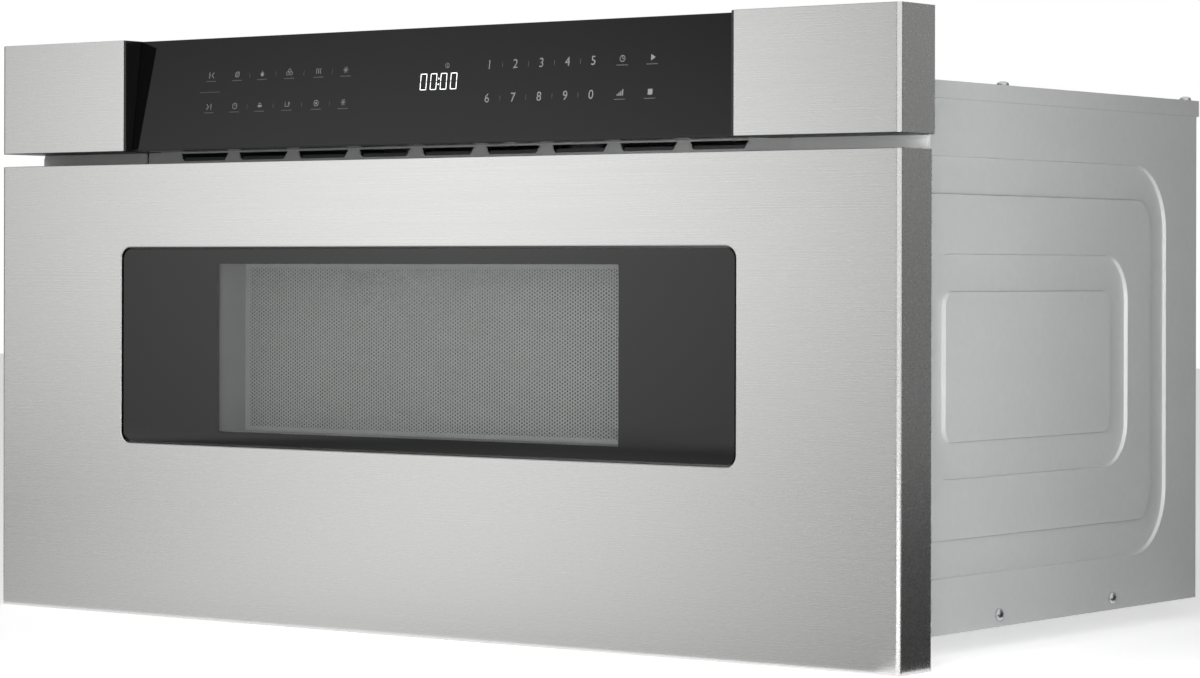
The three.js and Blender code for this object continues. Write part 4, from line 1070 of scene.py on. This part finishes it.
class MD_OT_screws(bpy.types.Operator):
    """Pan-head screws with a cross recess, on the cover and the sides"""

    bl_idname = "microwave_drawer.screws"
    bl_label = "Screws"

    def execute(self, context):
        head = self.screw_mesh()
        for node in [n for n in frame["nodes"] if "screw" in n]:
            low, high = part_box(node)
            middle = (low + high) / 2
            if "_top_" in node:
                place = Matrix.Translation((middle.x, middle.y, high.z - SCREW_RISE * MM))
            else:
                side = 1 if middle.x > 0 else -1
                foot = (high.x if side > 0 else low.x) - side * SCREW_RISE * MM
                place = (Matrix.Translation((foot, middle.y, middle.z))
                         @ Matrix.Rotation(side * QUARTER, 4, "Y") @ Matrix.Rotation(SCREW_TURN, 4, "Z"))
            bm = bmesh.new()
            bm.from_mesh(head)
            bm.transform(place)
            add_piece(node.replace("screw", "fastener"), bm, "chassis", "zinc", [node], 35)
        bpy.data.meshes.remove(head)
        return {"FINISHED"}

    def screw_mesh(self):
        """A pan head turned from its profile, on a shank, with the cross cut in by a boolean."""
        radius, rise, shank = SCREW_RADIUS, SCREW_RISE, SHANK_RADIUS
        profile = [(0.0, -SHANK_LENGTH), (shank, -SHANK_LENGTH), (shank, 0.0), (radius, 0.0), (radius, 0.9),
                   (radius - 0.35, 1.7), (radius - 1.2, 2.35), (radius - 2.4, rise - 0.1), (0.0, rise)]
        bm = bmesh.new()
        verts = [bm.verts.new((r * MM, 0.0, z * MM)) for r, z in profile]
        edges = [bm.edges.new(pair) for pair in zip(verts, verts[1:])]
        bmesh.ops.spin(bm, geom=verts + edges, cent=(0, 0, 0), axis=(0, 0, 1), angle=2 * math.pi, steps=32,
                       use_merge=True)
        bmesh.ops.remove_doubles(bm, verts=bm.verts, dist=1e-7)
        outwards(bm)
        cutter = bmesh.new()
        reach, half, floor, top = (CROSS[part] * MM for part in ("reach", "half", "floor", "top"))
        for turn in (0, QUARTER):
            arm = block(cutter, (-reach, reach), (-half, half), (floor, top))
            bmesh.ops.rotate(cutter, verts=arm, cent=(0, 0, 0), matrix=Matrix.Rotation(turn, 3, "Z"))
        made = []
        for name, source in (("screw_blank", bm), ("cross_cutter", cutter)):
            mesh = bpy.data.meshes.new(name)
            source.to_mesh(mesh)
            source.free()
            made.append(bpy.data.objects.new(name, mesh))
            bpy.context.scene.collection.objects.link(made[-1])
        blank, cross = made
        cut = blank.modifiers.new("recess", "BOOLEAN")
        cut.operation, cut.object, cut.solver = "DIFFERENCE", cross, "EXACT"
        cut.use_self = True
        bpy.context.view_layer.update()
        evaluated = blank.evaluated_get(bpy.context.evaluated_depsgraph_get())
        head = bpy.data.meshes.new_from_object(evaluated)
        for made_object in made:
            bpy.data.objects.remove(made_object)
        return head


# ------------------------------------------------------------------ drawer body and inner parts


class MD_OT_tub(bpy.types.Operator):
    """Enamelled tub with a rolled rim, and the ceramic tray on its floor"""

    bl_idname = "microwave_drawer.tub"
    bl_label = "Tub and tray"

    def execute(self, context):
        add_piece("tub_shell", softened("tub", 0.5, 3), "drawer", "enamel", ["tub"], 40)
        add_piece("tray", softened("ceramic_tray", 1.2, 3), "drawer", "ceramic",
                  ["ceramic_tray"], 40)
        return {"FINISHED"}


PLAIN_PARTS = {  # frame node: (finish, rounding of its edges in mm)
    "cavity_liner": ("enamel", 0.4),
    "choke_cover": ("black_plastic", 0.6),
    "door_inner_frame": ("frame_paint", 0.3),
    "left_outer_rail": ("zinc", 0.25),
    "right_outer_rail": ("zinc", 0.25),
    "left_middle_rail": ("zinc", 0.25),
    "right_middle_rail": ("zinc", 0.25),
    "left_inner_rail": ("zinc", 0.25),
    "right_inner_rail": ("zinc", 0.25),
    "drive_rack": ("nylon", 0.15),
    "drive_pinion": ("nylon", 0.12),
    "drive_gearbox": ("black_plastic", 0.8),
    "drive_motor": ("zinc", 0.6),
    "striker": ("nylon", 0.4),
    "primary_switch": ("black_plastic", 0.5),
    "secondary_switch": ("black_plastic", 0.5),
    "primary_plunger": ("nylon", 0.3),
    "secondary_plunger": ("nylon", 0.3),
    "switch_bracket": ("zinc", 0.2),
    "waveguide": ("galvanised", 0.3),
    "stirrer_motor": ("zinc", 0.5),
    "stirrer": ("aluminium", 0.2),
    "stirrer_cover": ("nylon", 0.8),
    "magnetron": ("aluminium", 0.2),
    "transformer_core": ("laminated", 0.3),
    "transformer_winding": ("copper", 2.0),
    "hv_capacitor": ("aluminium", 0.4),
    "cavity_lamp": ("ceramic", 0.4),
    "fan_housing": ("black_plastic", 0.5),
    "fan_wheel": ("aluminium", 0.15),
    "fan_motor": ("zinc", 0.8),
    "power_board": ("board", 0.2),
    "cord_gland": ("black_plastic", 0.4),
}
NODE_BODIES = {n: body for body, nodes in frame["record"]["behaviour"]["bodies"].items() for n in nodes}


class MD_OT_inner_parts(bpy.types.Operator):
    """Rails, drive, switches, microwave feed, fan and electrics, with their edges rounded off"""

    bl_idname = "microwave_drawer.inner_parts"
    bl_label = "Rails, drive and inner parts"

    def execute(self, context):
        for node, (finish, width) in PLAIN_PARTS.items():
            add_piece(f"{node}_part", softened(node, width), NODE_BODIES[node], finish,
                      [node], 35)
        return {"FINISHED"}


# ------------------------------------------------------------------ stage

CAMERA = {"place": (1530.3, -2061.8, 225.9), "yaw": 36.871, "roll": 0.117}
FOCAL_PIXELS = 3620.5  # for an image 1200 pixels wide
IMAGE_WIDTH = 1200
HORIZON_SHIFT = 69.37  # pixels that the horizon stands above the middle of the image
SENSOR = 36.0
CARD_DISTANCE = 3.2  # metres from the middle of the unit
CARD_HEIGHTS = (-0.014, 3.0)
CARD_FADE = (0.0, 0.5)  # heights between which a card's tone runs
# Where a reflected wall or cloth is brightest, how far the glow reaches, and its lowest and highest tone.
WALL_GLOW = {"place": (-1.86, -2.60, 0.4), "radii": (1.1, 1.1, 1.1), "turn": 0.0, "tones": (0.2, 1.7)}
FLOOR_GLOW = {"place": (-0.6, -1.03, 0.0), "radii": (0.55, 2.0, 1.0), "turn": -37.0, "tones": (0.22, 1.02)}
CLOTH_RISE = 0.001  # from the foot of the unit up to a cloth
CLOTH_GAP = 0.005  # from the unit to a cloth's near edge
FLOOR_REACH = 6.0
FLOOR_DROP = 0.0002  # from the foot of the unit down to the floor
FLOOR_LIFT = 0.55  # light that the floor adds where it is seen directly


def seen_directly(tree):
    """1 where the camera, a reflection or a look through glass meets the surface, 0 elsewhere."""
    path = add_node(tree, "ShaderNodeLightPath").outputs
    seen = path["Is Camera Ray"]
    for kind in ("Is Glossy Ray", "Is Transmission Ray"):
        seen = add_node(tree, "ShaderNodeMath", {"operation": "MAXIMUM"}, {0: seen, 1: path[kind]}).outputs[0]
    return seen


def rising(foot, head):
    """A tone that changes with height, from a card's foot to where its fade ends."""
    def tone(tree, place):
        height = add_node(tree, "ShaderNodeSeparateXYZ", inputs={"Vector": place}).outputs["Z"]
        return add_node(tree, "ShaderNodeMapRange", inputs={
            "Value": height, "From Min": CARD_FADE[0], "From Max": CARD_FADE[1], "To Min": foot,
            "To Max": head}).outputs["Result"]
    return tone


def glowing(spot):
    """A tone that falls off around a bright spot."""
    def tone(tree, place):
        from_spot = add_node(tree, "ShaderNodeMapping", {"vector_type": "TEXTURE"}, {
            "Vector": place, "Location": spot["place"], "Rotation": (0.0, 0.0, math.radians(spot["turn"])),
            "Scale": spot["radii"]}).outputs["Vector"]
        near = add_node(tree, "ShaderNodeTexGradient", {"gradient_type": "SPHERICAL"}, {"Vector": from_spot})
        return between(tree, near.outputs["Fac"], *spot["tones"])
    return tone


class MD_OT_stage(bpy.types.Operator):
    """Camera, pale floor, softboxes and white surroundings"""

    bl_idname = "microwave_drawer.stage"
    bl_label = "Stage"

    def execute(self, context):
        stage = context.scene.md_stage
        self.camera(context.scene)
        self.floor(stage)
        self.surroundings(context.scene, stage)
        self.softbox("key_softbox", (-1.5, -2.3, 1.7), (0.0, -0.2, 0.15), (2.2, 1.6), stage.key)
        self.softbox("side_softbox", (0.78, -0.78, 0.18), (0.36, -0.15, 0.22), (0.7, 0.7), stage.side)
        self.wall("left_card", (-110.0, -20.0), glowing(WALL_GLOW))
        self.wall("front_card", (-20.0, -8.0), 0.06)
        self.wall("rear_corner_card", (105.0, 128.0), 0.03)
        self.wall("right_rear_card", (128.0, 180.0), rising(0.07, 0.32))
        self.floor_cloth("front_cloth", (-1.8, 0.36), (-2.4, FRONT_Y - CLOTH_GAP), glowing(FLOOR_GLOW))
        self.floor_cloth("right_cloth", (DRAWER_HALF + CLOTH_GAP, 1.6), (FRONT_Y, 2.4), 0.04)
        context.scene.view_settings.view_transform = "Standard"
        return {"FINISHED"}

    def camera(self, scene):
        data = bpy.data.cameras.new("camera")
        data.sensor_width = SENSOR
        data.lens = FOCAL_PIXELS / IMAGE_WIDTH * SENSOR
        data.shift_y = -HORIZON_SHIFT / IMAGE_WIDTH
        data.clip_end = 50.0
        camera = bpy.data.objects.new("camera", data)
        scene.collection.objects.link(camera)
        place = Matrix.Translation(Vector(CAMERA["place"]) * MM)
        camera.matrix_world = (
            place @ Matrix.Rotation(math.radians(CAMERA["yaw"]), 4, "Z") @ PLANES["-Y"]
            @ Matrix.Rotation(math.radians(CAMERA["roll"]), 4, "Z"))
        scene.camera = camera

    def floor(self, stage):
        """A matt white floor. The camera sees it a little lighter than the lamps make it, so that it
        runs into the white surroundings, and it keeps the object's shadow."""
        bm = bmesh.new()
        bmesh.ops.create_grid(bm, x_segments=1, y_segments=1, size=FLOOR_REACH,
                              matrix=Matrix.Translation((0, 0, cad_box[0][2] - FLOOR_DROP)))
        mesh = bpy.data.meshes.new("floor")
        bm.to_mesh(mesh)
        bm.free()
        floor = bpy.data.objects.new("floor", mesh)
        bpy.context.scene.collection.objects.link(floor)
        material, tree, shader, place = blank_material("studio_floor", stage.floor, 0.9)
        grain = patterned(tree, place, 12.0).outputs["Fac"]
        put(tree, shader, Base_Color=shaded(tree, grain, stage.floor, 0.995, 1.0))
        shader.inputs["Emission Color"].default_value = (1.0, 1.0, 1.0, 1.0)
        put(tree, shader, Emission_Strength=between(tree, seen_directly(tree), 0.0, FLOOR_LIFT))
        mesh.materials.append(material)

    def surroundings(self, scene, stage):
        """White where the camera, metal or glass sees it; dimmer as light on matt surfaces."""
        world = bpy.data.worlds.new("white_studio")
        scene.world = world
        world.use_nodes = True
        tree = world.node_tree
        background = tree.nodes["Background"]
        background.inputs["Color"].default_value = (1.0, 1.0, 1.0, 1.0)
        tree.links.new(between(tree, seen_directly(tree), stage.ambient, 1.0), background.inputs["Strength"])

    def wall(self, name, turns, tone):
        """A grey studio wall that only reflections see, between two bearings in degrees from the front
        to the right."""
        bm = bmesh.new()
        start, end = (math.radians(t) for t in turns)
        foot = Vector((math.sin(start), -math.cos(start), 0.0)) * CARD_DISTANCE
        verts = [bm.verts.new((foot.x, foot.y, z)) for z in CARD_HEIGHTS]
        edge = bm.edges.new(verts)
        bmesh.ops.spin(bm, geom=[*verts, edge], cent=(0, 0, 0), axis=(0, 0, 1), angle=end - start, steps=12)
        self.reflected(name, bm, tone)

    def floor_cloth(self, name, xs, ys, tone):
        """A flat grey cloth on the floor that only reflections see."""
        bm = bmesh.new()
        rounded_face(bm, xs, ys, 0.0, "+Z", cad_box[0][2] + CLOTH_RISE)
        self.reflected(name, bm, tone)

    def reflected(self, name, bm, tone):
        """Makes a mesh that only reflections see, lit by a number or by a tone that changes over it."""
        mesh = bpy.data.meshes.new(name)
        bm.to_mesh(mesh)
        bm.free()
        card = bpy.data.objects.new(name, mesh)
        bpy.context.scene.collection.objects.link(card)
        material, tree, shader, place = blank_material(name, (0.0, 0.0, 0.0), 1.0)
        shader.inputs["Specular IOR Level"].default_value = 0.0
        shader.inputs["Emission Color"].default_value = (1.0, 1.0, 1.0, 1.0)
        if callable(tone):
            put(tree, shader, Emission_Strength=tone(tree, place))
        else:
            shader.inputs["Emission Strength"].default_value = tone
        mesh.materials.append(material)
        card.visible_camera = card.visible_diffuse = card.visible_shadow = False

    def softbox(self, name, place, target, size, power):
        """A soft lamp that neither the camera nor a reflection sees."""
        lamp = bpy.data.lights.new(name, "AREA")
        lamp.shape = "RECTANGLE"
        lamp.size, lamp.size_y = size
        lamp.energy = power
        holder = bpy.data.objects.new(name, lamp)
        holder.visible_camera = False
        holder.visible_glossy = False
        bpy.context.scene.collection.objects.link(holder)
        aim = Vector(target) - Vector(place)
        holder.matrix_world = Matrix.Translation(place) @ aim.to_track_quat("-Z", "Y").to_matrix().to_4x4()


# ------------------------------------------------------------------ add-on


class MD_PT_sidebar(bpy.types.Panel):
    """Lists what the add-on builds"""

    bl_idname = "MD_PT_sidebar"
    bl_label = "Microwave Drawer"
    bl_space_type = "VIEW_3D"
    bl_region_type = "UI"
    bl_category = "Microwave"

    def draw(self, context):
        for settings in SETTINGS:
            group = getattr(context.scene, settings)
            box = self.layout.box()
            for name in group.bl_rna.properties.keys():
                if name not in ("rna_type", "name"):
                    box.prop(group, name)
        for operator in OPERATORS:
            self.layout.operator(operator.bl_idname)


SETTINGS = {
    "md_steel": SteelSettings,
    "md_window": WindowSettings,
    "md_touch": TouchSettings,
    "md_stage": StageSettings,
}
OPERATORS = (
    MD_OT_stage,
    MD_OT_drawer_front,
    MD_OT_window,
    MD_OT_control_panel,
    MD_OT_touch_marks,
    MD_OT_vent_strip,
    MD_OT_chassis_sheets,
    MD_OT_screws,
    MD_OT_tub,
    MD_OT_inner_parts,
)
CLASSES = (*SETTINGS.values(), *OPERATORS, MD_PT_sidebar)


def register():
    for cls in CLASSES:
        bpy.utils.register_class(cls)
    for name, group in SETTINGS.items():
        setattr(bpy.types.Scene, name, PointerProperty(type=group))


def unregister():
    for name in SETTINGS:
        delattr(bpy.types.Scene, name)
    for cls in reversed(CLASSES):
        bpy.utils.unregister_class(cls)


def main():
    register()
    make_finishes()
    for operator in OPERATORS:
        group, name = operator.bl_idname.split(".")
        getattr(getattr(bpy.ops, group), name)()


if __name__ == "__main__":
    main()
